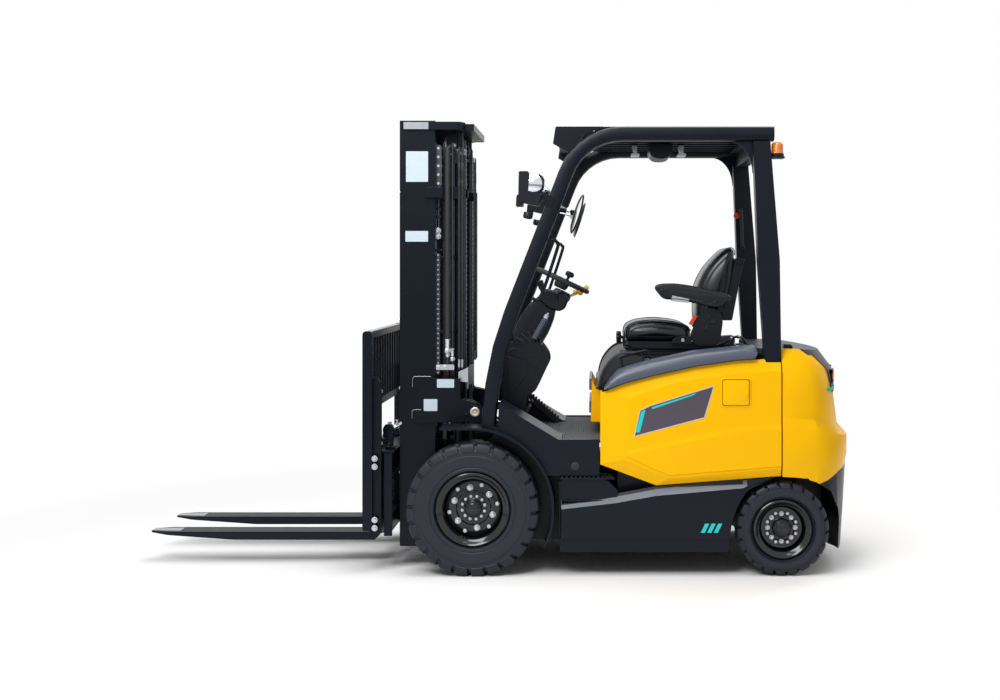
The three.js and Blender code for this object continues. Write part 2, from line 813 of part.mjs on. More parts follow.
function liftChains() {
  const half = CHAIN.wide / 2;
  const centre = SHEAVE.radius + CHAIN.thick / 2;
  const y0 = SHEAVE.y - half;
  const y1 = SHEAVE.y + half;
  const frontX = SHEAVE.x + SHEAVE.radius;
  const rearX = SHEAVE.x - SHEAVE.radius;
  const side = join(
    crossRod(SHEAVE.x, SHEAVE.z, y0, y1, centre + CHAIN.thick / 2, 32),
    block(frontX - CHAIN.thick / 2 + 4, frontX + CHAIN.thick / 2 + 4, y0, y1, 625 + FIT, SHEAVE.z),
    block(rearX - CHAIN.thick / 2 - 4, rearX + CHAIN.thick / 2 - 4, y0, y1, CHAIN.rearEnd, SHEAVE.z),
  );
  return join(...bothSides(side), crossRod(SHEAVE.x, SHEAVE.z, -198, 198, 12));
}

// ---------------------------------------------------------------- carriage

function carriage() {
  const { back, front, half } = CARRIAGE;
  const plate = sidePlate(
    [[262, 215], [262, 640], [380, 640], [398, 580], [front - 10, 580], [front - 10, 200], [330, 215]],
    170,
    190,
  );
  const roller = (z) => crossRod(301, z, 186, 243, 42, 28);
  const chainLug = block(168, 270, 150, 186, 600, 625);
  const endPlate = block(back, front, half - 10, half, 176, 587);
  return join(
    ...bothSides(join(plate, roller(262), roller(590), chainLug)),
    ...bothSides(endPlate),
    block(back, front, -half, half, 500, 580),
    block(back, front, -half, half, 200, 290),
  );
}

function sideShifter() {
  const { back, front, bottom, top } = SHIFTER;
  const upright = block(back, front, 300, 345, bottom, top);
  return join(
    block(back, front, -CARRIAGE.half, CARRIAGE.half, 490, top),
    block(back, front, -CARRIAGE.half, CARRIAGE.half, bottom, 300),
    block(405, back + 5, -CARRIAGE.half + 14, CARRIAGE.half - 14, 587, 599),
    ...bothSides(upright),
  );
}

function loadBackrest() {
  const { back, front, outer, post, bottom, top, grille } = BACKREST;
  const side = join(
    sidePlate(
      [[back, bottom], [back, top, 20], [front, top, 20], [front, bottom, 10]],
      outer - post,
      outer,
    ),
    sidePlate(
      [[461, 203], [461, 940], [479, 967], [back + 20, 967], [back + 20, 203]],
      453,
      outer - post + 4,
    ),
  );
  const bars = [];
  for (let i = -5; i <= 5; i += 1) bars.push(block(
    514, 534, i * 80 - 6, i * 80 + 6, grille + 10, top - 10,
  ));
  return join(
    ...bothSides(side),
    block(507, 543, -outer + 5, outer - 5, top - 36, top - 4),
    block(507, 543, -outer + 5, outer - 5, grille, grille + 36),
    ...bars,
  );
}

function fork() {
  const { back, face, wide, under, top, shank } = FORK;
  const blade = [
    [back, shank], [back, under + 24], [back + 24, under], [face + 700, under],
    [FORK_TIP_X - 120, top - 20], [FORK_TIP_X, top - 9], [FORK_TIP_X, top], [face, top], [face, shank],
  ];
  const hook = block(468, back + 4, -wide / 2 + 8, wide / 2 - 8, 606, 636);
  const lowHook = block(468, back + 4, -wide / 2 + 8, wide / 2 - 8, 152, 184);
  const body = sidePlate(blade, -wide / 2, wide / 2);
  const crown = block(back, face, -wide / 2, wide / 2, shank - 4, 636);
  const nose = planSlab(
    [[FORK_TIP_X - 110, -70], [FORK_TIP_X + 10, -70], [FORK_TIP_X + 10, -28]],
    100,
    180,
  );
  return cut(join(body, hook, lowHook, crown), ...bothSides(nose));
}

// ---------------------------------------------------------------- tilt cylinders

const tiltLine = Math.atan2(TILT_PIN.z - TILT_ANCHOR.z, TILT_PIN.x - TILT_ANCHOR.x);
const tiltLength = Math.hypot(TILT_PIN.z - TILT_ANCHOR.z, TILT_PIN.x - TILT_ANCHOR.x);

// Puts a piece drawn along +X from the anchor onto the slope of the tilt cylinder.
function onTiltLine(piece) {
  return piece.rotateY(-tiltLine).translate(TILT_ANCHOR.x, TILT_Y, TILT_ANCHOR.z);
}

function tiltBarrel() {
  const tube = rod([0, 0, 0], [270, 0, 0], 34, 28);
  const bore = rod([60, 0, 0], [280, 0, 0], 24, 28);
  const eye = crossRod(0, 0, -14, 14, 34, 28);
  const hole = crossRod(0, 0, -40, 40, 17, 24);
  return onTiltLine(cut(
    join(tube, eye), bore, hole, block(-50, 45, 14, 50, -50, 50), block(-50, 45, -50, -14, -50, 50),
  ));
}

function tiltRod() {
  const bar = rod([155, 0, 0], [tiltLength - 20, 0, 0], 18, 20);
  const eye = crossRod(tiltLength, 0, -11, 11, 32, 28);
  const hole = crossRod(tiltLength, 0, -40, 40, TILT_PIN.radius + 4, 24);
  return onTiltLine(cut(join(bar, eye), hole));
}

// ---------------------------------------------------------------- wheels

function tyre({ radius, width, rim, seat }) {
  const half = width / 2;
  const profile = [
    [seat, -half + 32], [rim + 1, -half + 28], [rim + 18, -half + 10],
    [radius - 60, -half], [radius - 24, -half + 3],
    [radius, -half + 20], [radius, half - 20], [radius - 24, half - 3],
    [radius - 60, half], [rim + 18, half - 10],
    [rim + 1, half - 28], [seat, half - 32], [seat, -half + 32],
  ];
  return turned(profile, 32);
}

function rim({ width, rim: lip, seat }, disc, hub) {
  const half = width / 2;
  const bore = seat - 10;
  const profile = [
    [0, disc + 30], [hub, disc + 28], [hub + 4, disc + 8], [bore - 30, disc + 8],
    [bore, disc - 6], [bore, half - 30],
    [lip - 14, half - 16], [lip, half - 14], [lip, half - 25],
    [seat - FIT, half - 30], [seat - FIT, -half + 30],
    [lip, -half + 25], [lip, -half + 14], [lip - 14, -half + 16], [bore, -half + 30], [bore, disc - 22],
    [bore - 30, disc - 10], [0, disc - 10],
  ];
  return turned(profile, 32);
}

function addWheels(name, size, x, hub) {
  const dish = rim(size, 0, hub);
  for (const [label, side] of [["left", 1], ["right", -1]]) {
    const place = [x, side * size.y, size.radius];
    add(`${name}_${label}_tyre`, tyre(size), "tyre", place);
    add(`${name}_${label}_rim`, side > 0 ? dish : mirrored(dish), "black", place);
  }
}

// ---------------------------------------------------------------- the whole machine

add("main_frame", mainFrame(), "black");
add("drive_axle", driveAxle(), "black");
add("steer_axle", steerAxle(), "black");
add("battery_block", batteryBlock(), "steel");
add("floor_plate", floorPlate(), "mat");
add("seat_front_panel", seatFrontPanel(), "yellow");
add("dash_cowl", dashCowl(), "plastic");
addPair("fender", fender(), "black");
addPair("side_skirt", sideSkirt(), "black");
add("left_body_panel", cut(bodyPanel(), chargePocket(18)), "yellow");
add("right_body_panel", mirrored(bodyPanel()), "yellow");
add("counterweight", counterweight(), "yellow");
add("rear_cover", rearCover(), "trim");
add("rear_bumper", rearBumper(), "black");
addPair("guard_rail", guardRail(), "black");
add("rear_hoop", rearHoop(), "black");
add("roof_guard", roofGuard(), "black");
addPair("headlamp", headlamp(), "lamp");
addPair("mirror", mirror(), "mirror");
add("beacon", beacon(), "amber");
add("steering_column", steeringColumn(), "plastic");
add("pedals", pedals(), "black");
add("hood", hood(), "trim");
add("seat_base", seatBase(), "plastic");
add("seat_cushion", seatCushion(), "vinyl");
add("seat_backrest", seatBackrest(), "vinyl");
add("armrest", armrest(), "vinyl");
add("charge_flap", chargeFlap(), "yellow");
add("outer_mast", outerMast(), "black");
add("inner_mast", innerMast(), "black");
add("lift_chains", liftChains(), "steel");
add("carriage", carriage(), "black");
add("side_shifter", sideShifter(), "black");
add("load_backrest", loadBackrest(), "black");
addPair("tilt_barrel", tiltBarrel(), "black");
addPair("tilt_rod", tiltRod(), "chrome");
addPair("knuckle", knuckle(), "black");
addWheels("front", FRONT_TYRE, 0, 36);
addWheels("rear", REAR_TYRE, -WHEELBASE, 41);

for (const [label, side] of [["left", 1], ["right", -1]]) {
  add(`${label}_fork`, fork(), "black", [0, side * FORK.y, 0]);
}

add("steering_wheel", steeringWheel(), "plastic", [STEERING.x, 0, STEERING.z]);
forklift.getObjectByName("steering_wheel").rotation.y = THREE.MathUtils.degToRad(-STEERING.tilt);

forklift.position.x = -(TAIL_X + FORK_TIP_X) / 2;

export default forklift;
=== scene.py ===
"""Builds the looks of a four-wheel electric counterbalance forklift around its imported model.

Lengths inside the drawing code are millimetres, measured from the middle of the front axle
on the ground: X forward, Y to the driver's left, Z up. `place` turns them into the frame's metres.
"""

import json
import math

import bmesh
import bpy
from mathutils import Matrix, Vector

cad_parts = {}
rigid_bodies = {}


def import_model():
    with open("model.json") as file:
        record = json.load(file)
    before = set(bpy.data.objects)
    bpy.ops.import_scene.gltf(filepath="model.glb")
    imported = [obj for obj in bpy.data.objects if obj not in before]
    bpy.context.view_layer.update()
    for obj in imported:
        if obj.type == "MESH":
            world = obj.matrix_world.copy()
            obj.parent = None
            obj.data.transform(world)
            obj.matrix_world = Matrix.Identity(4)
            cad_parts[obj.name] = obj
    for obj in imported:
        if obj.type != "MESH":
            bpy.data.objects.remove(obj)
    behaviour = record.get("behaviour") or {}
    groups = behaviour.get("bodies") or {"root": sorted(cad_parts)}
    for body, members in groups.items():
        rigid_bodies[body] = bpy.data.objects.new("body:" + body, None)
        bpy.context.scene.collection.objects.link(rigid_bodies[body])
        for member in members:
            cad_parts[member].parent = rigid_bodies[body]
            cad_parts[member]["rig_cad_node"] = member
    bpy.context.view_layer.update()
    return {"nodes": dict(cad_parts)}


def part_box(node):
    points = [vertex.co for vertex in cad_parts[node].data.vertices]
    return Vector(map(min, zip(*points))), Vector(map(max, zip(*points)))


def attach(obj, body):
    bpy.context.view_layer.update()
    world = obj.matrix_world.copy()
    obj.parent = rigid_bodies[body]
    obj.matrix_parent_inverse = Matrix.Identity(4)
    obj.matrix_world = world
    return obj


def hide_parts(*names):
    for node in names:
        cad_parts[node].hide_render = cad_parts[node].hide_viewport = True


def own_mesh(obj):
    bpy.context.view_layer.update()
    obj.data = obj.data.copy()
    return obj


bl_info = {
    "name": "Counterbalance forklift",
    "version": (1, 0, 0),
    "blender": (4, 5, 0),
    "location": "View3D > Sidebar > Forklift",
    "description": "Builds the visible pieces of a four-wheel electric forklift",
    "category": "Add Mesh",
}

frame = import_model()

# ----- driving dimensions

FRONT_AXLE_X = 500 * sum(corner.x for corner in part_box("front_left_tyre"))  # the axle, ahead of the middle
WHEELBASE = 1525
FRONT_TYRE = {"radius": 327.5, "width": 175, "y": 487.5, "x": 0, "rim": 181, "seat": 158}
REAR_TYRE = {"radius": 228.5, "width": 155, "y": 482.5, "x": -WHEELBASE, "rim": 145, "seat": 124}
BODY_Y = 545  # the body panels' face
SKIRT_Y = 560  # the skirts' face
SHEAVE_X, SHEAVE_Y, SHEAVE_Z, SHEAVE_R = 130, 165, 2150, 52
TILT_PIN = (6, 357, 784)
SHIFT_X, SHIFT_Z = 456, 445  # the side-shift cylinder's axis
FORK_TIP = 1688
SIDES = ((1, "left"), (-1, "right"))
AHEAD, ASTERN, ACROSS, UP = (1, 0, 0), (-1, 0, 0), (0, 1, 0), (0, 0, 1)
MIRROR = Matrix.Diagonal((1, -1, 1, 1))
SAME_PLACE = 0.01  # points this near each other are one
EDGE_ANGLE = 35  # degrees: edges sharper than this are softened and stay creases
MATERIALS = {}


# ----- drawing helpers


def place(x, y, z):
    """A point given in millimetres from the front axle, as metres in the frame."""
    return Vector(((x + FRONT_AXLE_X) / 1000, y / 1000, z / 1000))


def on_circle(centre, radius, degrees):
    """The point (u, v) on a circle at an angle."""
    turn = math.radians(degrees)
    return centre[0] + radius * math.cos(turn), centre[1] + radius * math.sin(turn)


def arc(centre, radius, start, stop, steps):
    """Points (u, v) on an arc between two angles in degrees."""
    return [on_circle(centre, radius, start + (stop - start) * i / steps) for i in range(steps + 1)]


def rounded(points, steps=4):
    """A closed outline whose corners are rounded where a point has a third number, the radius."""
    outline = []
    count = len(points)
    for i, corner in enumerate(points):
        here = Vector(corner[:2])
        if len(corner) < 3:
            outline.append(here)
            continue
        before = Vector(points[i - 1][:2]) - here
        after = Vector(points[(i + 1) % count][:2]) - here
        start = here + before.normalized() * min(corner[2], before.length * 0.49)
        end = here + after.normalized() * min(corner[2], after.length * 0.49)
        for step in range(steps + 1):
            t = step / steps
            outline.append(start * (1 - t) ** 2 + here * 2 * t * (1 - t) + end * t**2)
    return [tuple(point) for point in outline]


def smooth_path(points, steps=8):
    """More points along a smooth curve through the given ones."""
    knots = [Vector(p) for p in points]
    knots = [knots[0] * 2 - knots[1]] + knots + [knots[-1] * 2 - knots[-2]]
    path = []
    for a, b, c, d in zip(knots, knots[1:], knots[2:], knots[3:]):
        for i in range(steps):
            t = i / steps
            bend, twist = a * 2 - b * 5 + c * 4 - d, b * 3 - a - c * 3 + d
            path.append(((b * 2) + (c - a) * t + bend * t**2 + twist * t**3) / 2)
    path.append(knots[-2])
    return path


def rect(x0, x1, z0, z1, radius=None):
    """A rectangle's corners, rounded where there is a radius."""
    corners = ((x0, z0), (x1, z0), (x1, z1), (x0, z1))
    return [(*corner, radius) if radius else corner for corner in corners]


class Form:
    """A mesh gathered stroke by stroke, in millimetres from the front axle."""

    def __init__(self):
        self.mesh = bmesh.new()

    def skin(self, rings, closed_ends=True, looped=False):
        """Joins rings of the same number of points into a surface."""
        rows = [[self.mesh.verts.new(p) for p in ring] for ring in rings]
        pairs = list(zip(rows, rows[1:]))
        if looped:
            pairs.append((rows[-1], rows[0]))
        count = len(rows[0])
        for low, high in pairs:
            for i in range(count):
                j = (i + 1) % count
                self.mesh.faces.new((low[i], low[j], high[j], high[i]))
        if closed_ends and not looped:
            self.mesh.faces.new(rows[0][::-1])
            self.mesh.faces.new(rows[-1])
        return self

    def slices(self, *cuts, looped=False):
        """A skin over outlines (x, z), each at its own distance across."""
        return self.skin([[(x, y, z) for x, z in outline] for outline, y in cuts], looped=looped)

    def prism(self, points, low, high, axis="Y"):
        """An outline pushed along an axis: (x, z) along Y, (x, y) along Z, (y, z) along X."""
        spot = {
            "Y": lambda u, v, w: (u, w, v),
            "Z": lambda u, v, w: (u, v, w),
            "X": lambda u, v, w: (w, u, v),
        }[axis]
        flat = rounded(points)
        return self.skin([[spot(u, v, low) for u, v in flat], [spot(u, v, high) for u, v in flat]])

    def tube(self, points, radius, sides=12, looped=False):
        """A round bar along points; radius is one number, or one for each point."""
        path = [Vector(p) for p in points]
        radii = [radius] * len(path) if isinstance(radius, (int, float)) else radius
        across = None
        rings = []
        for i, point in enumerate(path):
            if looped:
                along = path[(i + 1) % len(path)] - path[i - 1]
            else:
                along = path[min(i + 1, len(path) - 1)] - path[max(i - 1, 0)]
            along.normalize()
            if across is None:
                across = along.orthogonal()
            across = (across - along * across.dot(along)).normalized()
            other = along.cross(across)
            ring = []
            for side in range(sides):
                turn = 2 * math.pi * side / sides
                ring.append(point + (across * math.cos(turn) + other * math.sin(turn)) * radii[i])
            rings.append(ring)
        return self.skin(rings, looped=looped)

    def bend(self, points, steps, radius, sides=12):
        """A round bar along a smooth curve through points."""
        return self.tube(smooth_path(points, steps), radius, sides)

    def rod(self, start, end, radius, sides=20):
        return self.tube([start, end], radius, sides)

    def lathe(self, profile, centre, axis=ACROSS, segments=48, looped=False):
        """Turns (radius, offset) points about an axis through centre; a looped profile makes a ring."""
        along = Vector(axis).normalized()
        across = along.orthogonal().normalized()
        other = along.cross(across)
        middle = Vector(centre)
        rings = []
        for step in range(segments):
            turn = 2 * math.pi * step / segments
            out = across * math.cos(turn) + other * math.sin(turn)
            rings.append([middle + out * r + along * h for r, h in profile])
        rows = [[self.mesh.verts.new(p) for p in ring] for ring in rings]
        count = len(profile)
        for i, row in enumerate(rows):
            after = rows[(i + 1) % segments]
            for j in range(count if looped else count - 1):
                k = (j + 1) % count
                self.mesh.faces.new((row[j], row[k], after[k], after[j]))
        return self

    def nut(self, centre, axis, across, height, stud=0):
        """A hexagon nut with a chamfered crown, and the stud's end standing out of it."""
        r = across / math.sqrt(3)
        self.lathe([(0, 0), (r, 0), (r, height * 0.8), (r * 0.86, height), (0, height)], centre, axis, 6)
        if stud:
            s, end = across * 0.3, height + stud
            self.lathe(
                [(0, height * 0.5), (s, height * 0.5), (s, end - 1.5), (s - 1.5, end), (0, end)], centre, axis,
                12,
            )
        return self

    def screws(self, centres, axis, across, height, washer=0):
        """Hexagon bolt heads on round washers, at each centre."""
        for centre in centres:
            if washer:
                w = across * 0.85
                self.lathe([(0, 0), (w, 0), (w, washer * 0.7), (w - 1, washer), (0, washer)], centre, axis, 20)
            start = Vector(centre) + Vector(axis) * washer * 0.9
            self.nut(start, axis, across, height)
        return self

    def moved(self, matrix):
        self.mesh.transform(matrix)
        return self

    def mirror_y(self):
        """Adds the other side's copy."""
        everything = self.mesh.verts[:] + self.mesh.edges[:] + self.mesh.faces[:]
        for item in bmesh.ops.duplicate(self.mesh, geom=everything)["geom"]:
            if isinstance(item, bmesh.types.BMVert):
                item.co.y = -item.co.y
        return self


def merge_forms(whole, part):
    """Adds a form's mesh to another form."""
    data = bpy.data.meshes.new("stroke")
    part.mesh.to_mesh(data)
    part.mesh.free()
    whole.mesh.from_mesh(data)
    bpy.data.meshes.remove(data)


def smoothing_nodes(name, crease):
    """Geometry nodes that shade smooth, with creases kept where faces meet at more than an angle."""
    group = bpy.data.node_groups.new(name, "GeometryNodeTree")
    group.interface.new_socket("Geometry", in_out="INPUT", socket_type="NodeSocketGeometry")
    group.interface.new_socket("Geometry", in_out="OUTPUT", socket_type="NodeSocketGeometry")
    start = group.nodes.new("NodeGroupInput")
    end = group.nodes.new("NodeGroupOutput")
    angle = group.nodes.new("GeometryNodeInputMeshEdgeAngle")
    shallow = group.nodes.new("FunctionNodeCompare")
    shallow.operation = "LESS_THAN"
    shallow.inputs["B"].default_value = math.radians(crease)
    faces = group.nodes.new("GeometryNodeSetShadeSmooth")
    edges = group.nodes.new("GeometryNodeSetShadeSmooth")
    edges.domain = "EDGE"
    group.links.new(start.outputs["Geometry"], faces.inputs["Geometry"])
    group.links.new(faces.outputs["Geometry"], edges.inputs["Geometry"])
    group.links.new(angle.outputs["Unsigned Angle"], shallow.inputs["A"])
    group.links.new(shallow.outputs["Result"], edges.inputs["Shade Smooth"])
    group.links.new(edges.outputs["Geometry"], end.inputs["Geometry"])
    return group


def dress(piece, material, bevel=0.0, segments=2, crease=EDGE_ANGLE):
    """Gives a piece its material, softened edges of that width in millimetres, and smooth shading."""
    piece.data.materials.clear()
    piece.data.materials.append(material)
    name = f"Smooth shading {crease}"
    group = bpy.data.node_groups.get(name) or smoothing_nodes(name, crease)
    if piece.get("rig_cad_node"):
        weld = piece.modifiers.new("Weld", "WELD")
        weld.merge_threshold = SAME_PLACE / 1000
    piece.modifiers.new("Smooth", "NODES").node_group = group
    if bevel:
        edge = piece.modifiers.new("Edges", "BEVEL")
        edge.width = bevel / 1000
        edge.segments = segments
        edge.limit_method = "ANGLE"
        edge.angle_limit = math.radians(EDGE_ANGLE)
        edge.use_clamp_overlap = True
        edge.harden_normals = True
    return piece


def add_object(name, data):
    """A new object in the scene."""
    thing = bpy.data.objects.new(name, data)
    bpy.context.scene.collection.objects.link(thing)
    return thing


def make(form, name, material, body, bevel=0.0, segments=2, stands_for=(), slot=None):
    """Turns a form into a piece that rides on a body and may stand for CAD nodes."""
    bmesh.ops.remove_doubles(form.mesh, verts=form.mesh.verts[:], dist=SAME_PLACE)
    bmesh.ops.recalc_face_normals(form.mesh, faces=form.mesh.faces[:])
    form.mesh.transform(Matrix.Scale(0.001, 4) @ Matrix.Translation((FRONT_AXLE_X, 0, 0)))
    data = bpy.data.meshes.new(name)
    form.mesh.to_mesh(data)
    form.mesh.free()
    piece = add_object(name, data)
    dress(piece, MATERIALS[material], bevel, segments)
    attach(piece, body)
    if stands_for:
        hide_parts(*stands_for)
    return piece


def make_each(body, *rows):
    """Makes pieces that ride on one body; a row is what make takes, without the body."""
    for form, name, material, *rest in rows:
        make(form, name, material, body, *rest)


def both_sides(draw, name, material, body, bevel=0.0, segments=2, stands_for="", slot=None):
    """Makes the left piece and its mirror image; stands_for may hold {side}."""
    for side, label in SIDES:
        form = draw() if side > 0 else draw().moved(MIRROR)
        nodes = [stands_for.format(side=label)] if stands_for else ()
        make(form, f"{label}_{name}", material, body, bevel, segments, nodes, slot)


def finish_nodes(names, material, bevel=2.0, segments=2, crease=EDGE_ANGLE):
    """Gives carried-over CAD nodes their real finish and softened edges."""
    for name in names:
        dress(frame["nodes"][name], MATERIALS[material], bevel, segments, crease)


# ----- materials


def linear(hex_colour):
    """An sRGB hex colour as linear red, green, blue and alpha."""
    channels = [int(hex_colour[i : i + 2], 16) / 255 for i in (1, 3, 5)]
    return [c / 12.92 if c <= 0.04045 else ((c + 0.055) / 1.055) ** 2.4 for c in channels] + [1.0]


def add_node(tree, kind, links=None, **settings):
    """Adds a node. Settings are its properties or its inputs; links are input: output socket."""
    node = tree.nodes.new(kind)
    for key, value in settings.items():
        if hasattr(node, key):
            setattr(node, key, value)
        else:
            node.inputs[key.replace("_", " ")].default_value = value
    for key, socket in (links or {}).items():
        tree.links.new(socket, node.inputs[key])
    return node


def blank_tree(owner):
    """The emptied node tree of a material or a world."""
    owner.use_nodes = True
    owner.node_tree.nodes.clear()
    return owner.node_tree


def per_metre(size_mm):
    """A texture scale whose repeat is that many millimetres."""
    return 1000 / size_mm


def surface(
    name, colour, roughness, metallic=0.0, ior=1.5, vary=0.06, patch_mm=90, grain_mm=1.0, grain=0.0,
    grain_depth=0.02, uneven=0.08, **shader,
):
    """A surface whose colour drifts a little over patches, whose gloss is uneven, and which has a grain."""
    material = bpy.data.materials.new(name)
    tree = blank_tree(material)
    body = add_node(tree, "ShaderNodeBsdfPrincipled", Metallic=metallic, Roughness=roughness, **shader)
    if not metallic:
        body.inputs["IOR"].default_value = ior
    base = linear(colour) if isinstance(colour, str) else [*colour, 1.0]
    body.inputs["Base Color"].default_value = base
    spot = add_node(tree, "ShaderNodeTexCoord").outputs["Object"]
    patches = add_node(
        tree, "ShaderNodeTexNoise", {"Vector": spot}, Scale=per_metre(patch_mm), Detail=5.0, Roughness=0.6
    )
    if vary:
        tint = add_node(tree, "ShaderNodeMix", {"Factor": patches.outputs["Fac"]}, data_type="RGBA")
        tint.inputs[6].default_value = [c * (1 - vary) for c in base[:3]] + [1.0]
        tint.inputs[7].default_value = [min(1.0, c * (1 + vary)) for c in base[:3]] + [1.0]
        tree.links.new(tint.outputs[2], body.inputs["Base Color"])
    if uneven:
        gloss = add_node(
            tree, "ShaderNodeMapRange", {"Value": patches.outputs["Fac"]}, From_Min=0.3, From_Max=0.7
        )
        gloss.inputs["To Min"].default_value = max(0.02, roughness * (1 - uneven))
        gloss.inputs["To Max"].default_value = min(1.0, roughness * (1 + uneven))
        tree.links.new(gloss.outputs["Result"], body.inputs["Roughness"])
    if grain:
        bumps = add_node(tree, "ShaderNodeTexNoise", {"Vector": spot}, Scale=per_metre(grain_mm), Detail=3.0)
        relief = add_node(
            tree, "ShaderNodeBump", {"Height": bumps.outputs["Fac"]}, Strength=grain,
            Distance=grain_depth / 1000,
        )
        tree.links.new(relief.outputs["Normal"], body.inputs["Normal"])
    add_node(tree, "ShaderNodeOutputMaterial", {"Surface": body.outputs["BSDF"]})
    return material


def finishes(colours):
    """Every material of the machine, by the name used in the drawing code."""
    made = {
        # Two-pack enamel sprayed on sheet steel: clear, wet gloss with a faint orange peel.
        "enamel": surface(
            "Yellow two-pack enamel on steel", colours.enamel, 0.34, vary=0.02, grain_mm=4, grain=0.2,
            grain_depth=0.04, Specular_IOR_Level=0.1, Coat_Weight=0.05, Coat_Roughness=0.06,
        ),
        # Powder coat on welded steel: even satin black with a fine pebble.
        "powder": surface(
            "Black powder coat on steel", colours.frame_paint, 0.36, vary=0.06, grain_mm=2.5, grain=0.3,
            grain_depth=0.04, Specular_IOR_Level=0.2,
        ),
        # Rolled mast channel under machine enamel: smoother and a little glossier than the frame.
        "mast_paint": surface(
            "Black machine enamel on rolled steel", colours.mast_paint, 0.3, vary=0.08, patch_mm=60, grain_mm=6,
            grain=0.2, grain_depth=0.05, Specular_IOR_Level=0.17,
        ),
        # Wheel enamel over pressed and turned steel: the glossiest black on the machine.
        "rim_paint": surface(
            "Black wheel enamel on pressed steel", "#070A11", 0.14, vary=0.04, patch_mm=40, grain_mm=3,
            grain=0.2, grain_depth=0.02, Specular_IOR_Level=0.5,
        ),
        # Drop-forged fork steel, scale left under the paint, so a coarse skin.
        "forged": surface(
            "Black paint on forged steel", colours.mast_paint, 0.45, vary=0.12, patch_mm=30, grain_mm=5,
            grain=0.5, grain_depth=0.2, Specular_IOR_Level=0.2,
        ),
        # Bright zinc plate on fasteners.
        "zinc": surface("Zinc-plated steel", "#C9CCD1", 0.3, 1.0, vary=0.08, patch_mm=8, grain_mm=1, grain=0.2),
        # Hard chrome ground on cylinder rods: near mirror.
        "chrome": surface("Hard-chromed ground rod", "#E2E4E8", 0.08, 1.0, vary=0.02, patch_mm=20, uneven=0.3),
        # Rolled and hardened chain links with oil on them.
        "chain": surface("Oiled chain steel", "#54565A", 0.34, 1.0, vary=0.25, patch_mm=12),
        # Machined, bare steel.
        "machined": surface("Machined bare steel", "#A2A5AA", 0.32, 1.0, vary=0.08, patch_mm=25),
        # Moulded ABS with a spark-eroded texture: dull and even.
        "abs_grey": surface(
            "Moulded grey ABS", colours.trim, 0.34, vary=0.03, grain_mm=1.6, grain=0.4, grain_depth=0.05
        ),
        "cover_grey": surface(
            "Moulded slate ABS", "#2B303B", 0.42, vary=0.03, grain_mm=1.6, grain=0.4, grain_depth=0.05,
            Specular_IOR_Level=0.2,
        ),
        "abs_black": surface(
            "Moulded black ABS", colours.moulding, 0.34, vary=0.04, grain_mm=1.6, grain=0.4, grain_depth=0.05,
            Specular_IOR_Level=0.3,
        ),
        "abs_yellow": surface("Moulded yellow ABS", "#FFC800", 0.35, vary=0.02),
        "abs_red": surface("Moulded orange-red ABS", "#FF4A20", 0.35, vary=0.02),
        # Natural rubber tread compound: matt, charcoal rather than black.
        "tyre": surface(
            "Solid tyre rubber", colours.tyre, 0.5, vary=0.1, patch_mm=50, grain_mm=3, grain=0.4,
            grain_depth=0.08, Specular_IOR_Level=0.35,
        ),
        "rubber": surface(
            "Moulded black rubber", "#1B1D21", 0.65, vary=0.06, grain_mm=1.5, grain=0.3, grain_depth=0.05
        ),
        "hose": surface("Hydraulic hose rubber", "#1A1B1F", 0.5, vary=0.08, patch_mm=10),
        "mat": surface(
            "Ribbed rubber floor mat", colours.mat, 0.8, vary=0.06, patch_mm=60, grain_mm=2, grain=0.4,
            grain_depth=0.08,
        ),
        # Vinyl-coated seat cloth: a leather-like emboss, wrinkles, satin sheen.
        "vinyl": surface(
            "Embossed black seat vinyl", colours.seat, 0.3, vary=0.05, patch_mm=40, grain_mm=2.2, grain=0.5,
            grain_depth=0.06, Specular_IOR_Level=0.4, Coat_Weight=0.12, Coat_Roughness=0.15,
        ),
        "belt": surface(
            "Woven polyester webbing", "#1C1D20", 0.8, vary=0.1, patch_mm=4, grain_mm=1.4, grain=0.6,
            grain_depth=0.2,
        ),
        "mirror": surface("Silvered mirror glass", "#E8ECF0", 0.03, 1.0, vary=0.0),
        "reflector": surface("Vacuum-metallised reflector", "#D9DDE3", 0.14, 1.0, vary=0.04, patch_mm=20),
        # Clear polycarbonate lens.
        "lens": surface(
            "Clear polycarbonate lens", "#F2F6FA", 0.06, vary=0.0, ior=1.58, Transmission_Weight=0.9
        ),
        "amber": surface(
            "Amber polycarbonate", "#FF8A00", 0.16, vary=0.03, ior=1.58, Transmission_Weight=0.25,
            Coat_Weight=0.5,
        ),
        "lamp_red": surface("Red polycarbonate", "#C81408", 0.16, vary=0.03, ior=1.58, Coat_Weight=0.5),
        "teal": surface("Teal cut vinyl film", colours.stripe, 0.35, vary=0.01),
        "teal_dark": surface("Teal enamel line", "#19A893", 0.35, vary=0.01),
        "badge": surface("Dark badge foil", "#4A4250", 0.3, vary=0.04, patch_mm=30, Coat_Weight=0.4),
        "edge_foil": surface("Pale badge border foil", "#C9C4D0", 0.3, vary=0.02),
        "plate": surface("Blank white polyester plate", "#C2D0DA", 0.4, vary=0.02),
        "anodised": surface("Clear anodised aluminium plate", "#B9BDC3", 0.35, 1.0, vary=0.04, patch_mm=10),
        "cover_cloth": surface(
            "Coated bellows cloth", "#14161C", 0.36, vary=0.08, patch_mm=20, grain_mm=1.6, grain=0.4,
            grain_depth=0.06,
        ),
    }
    return made


# ----- settings a user may change


def colour_setting(name, description, hex_colour):
    return bpy.props.FloatVectorProperty(
        name=name, description=description, subtype="COLOR", size=3, min=0.0, max=1.0,
        default=linear(hex_colour)[:3],
    )


def length_setting(name, description, default, low, high):
    return bpy.props.FloatProperty(
        name=name, description=description, subtype="DISTANCE", unit="LENGTH", default=default,
        min=low, max=high,
    )


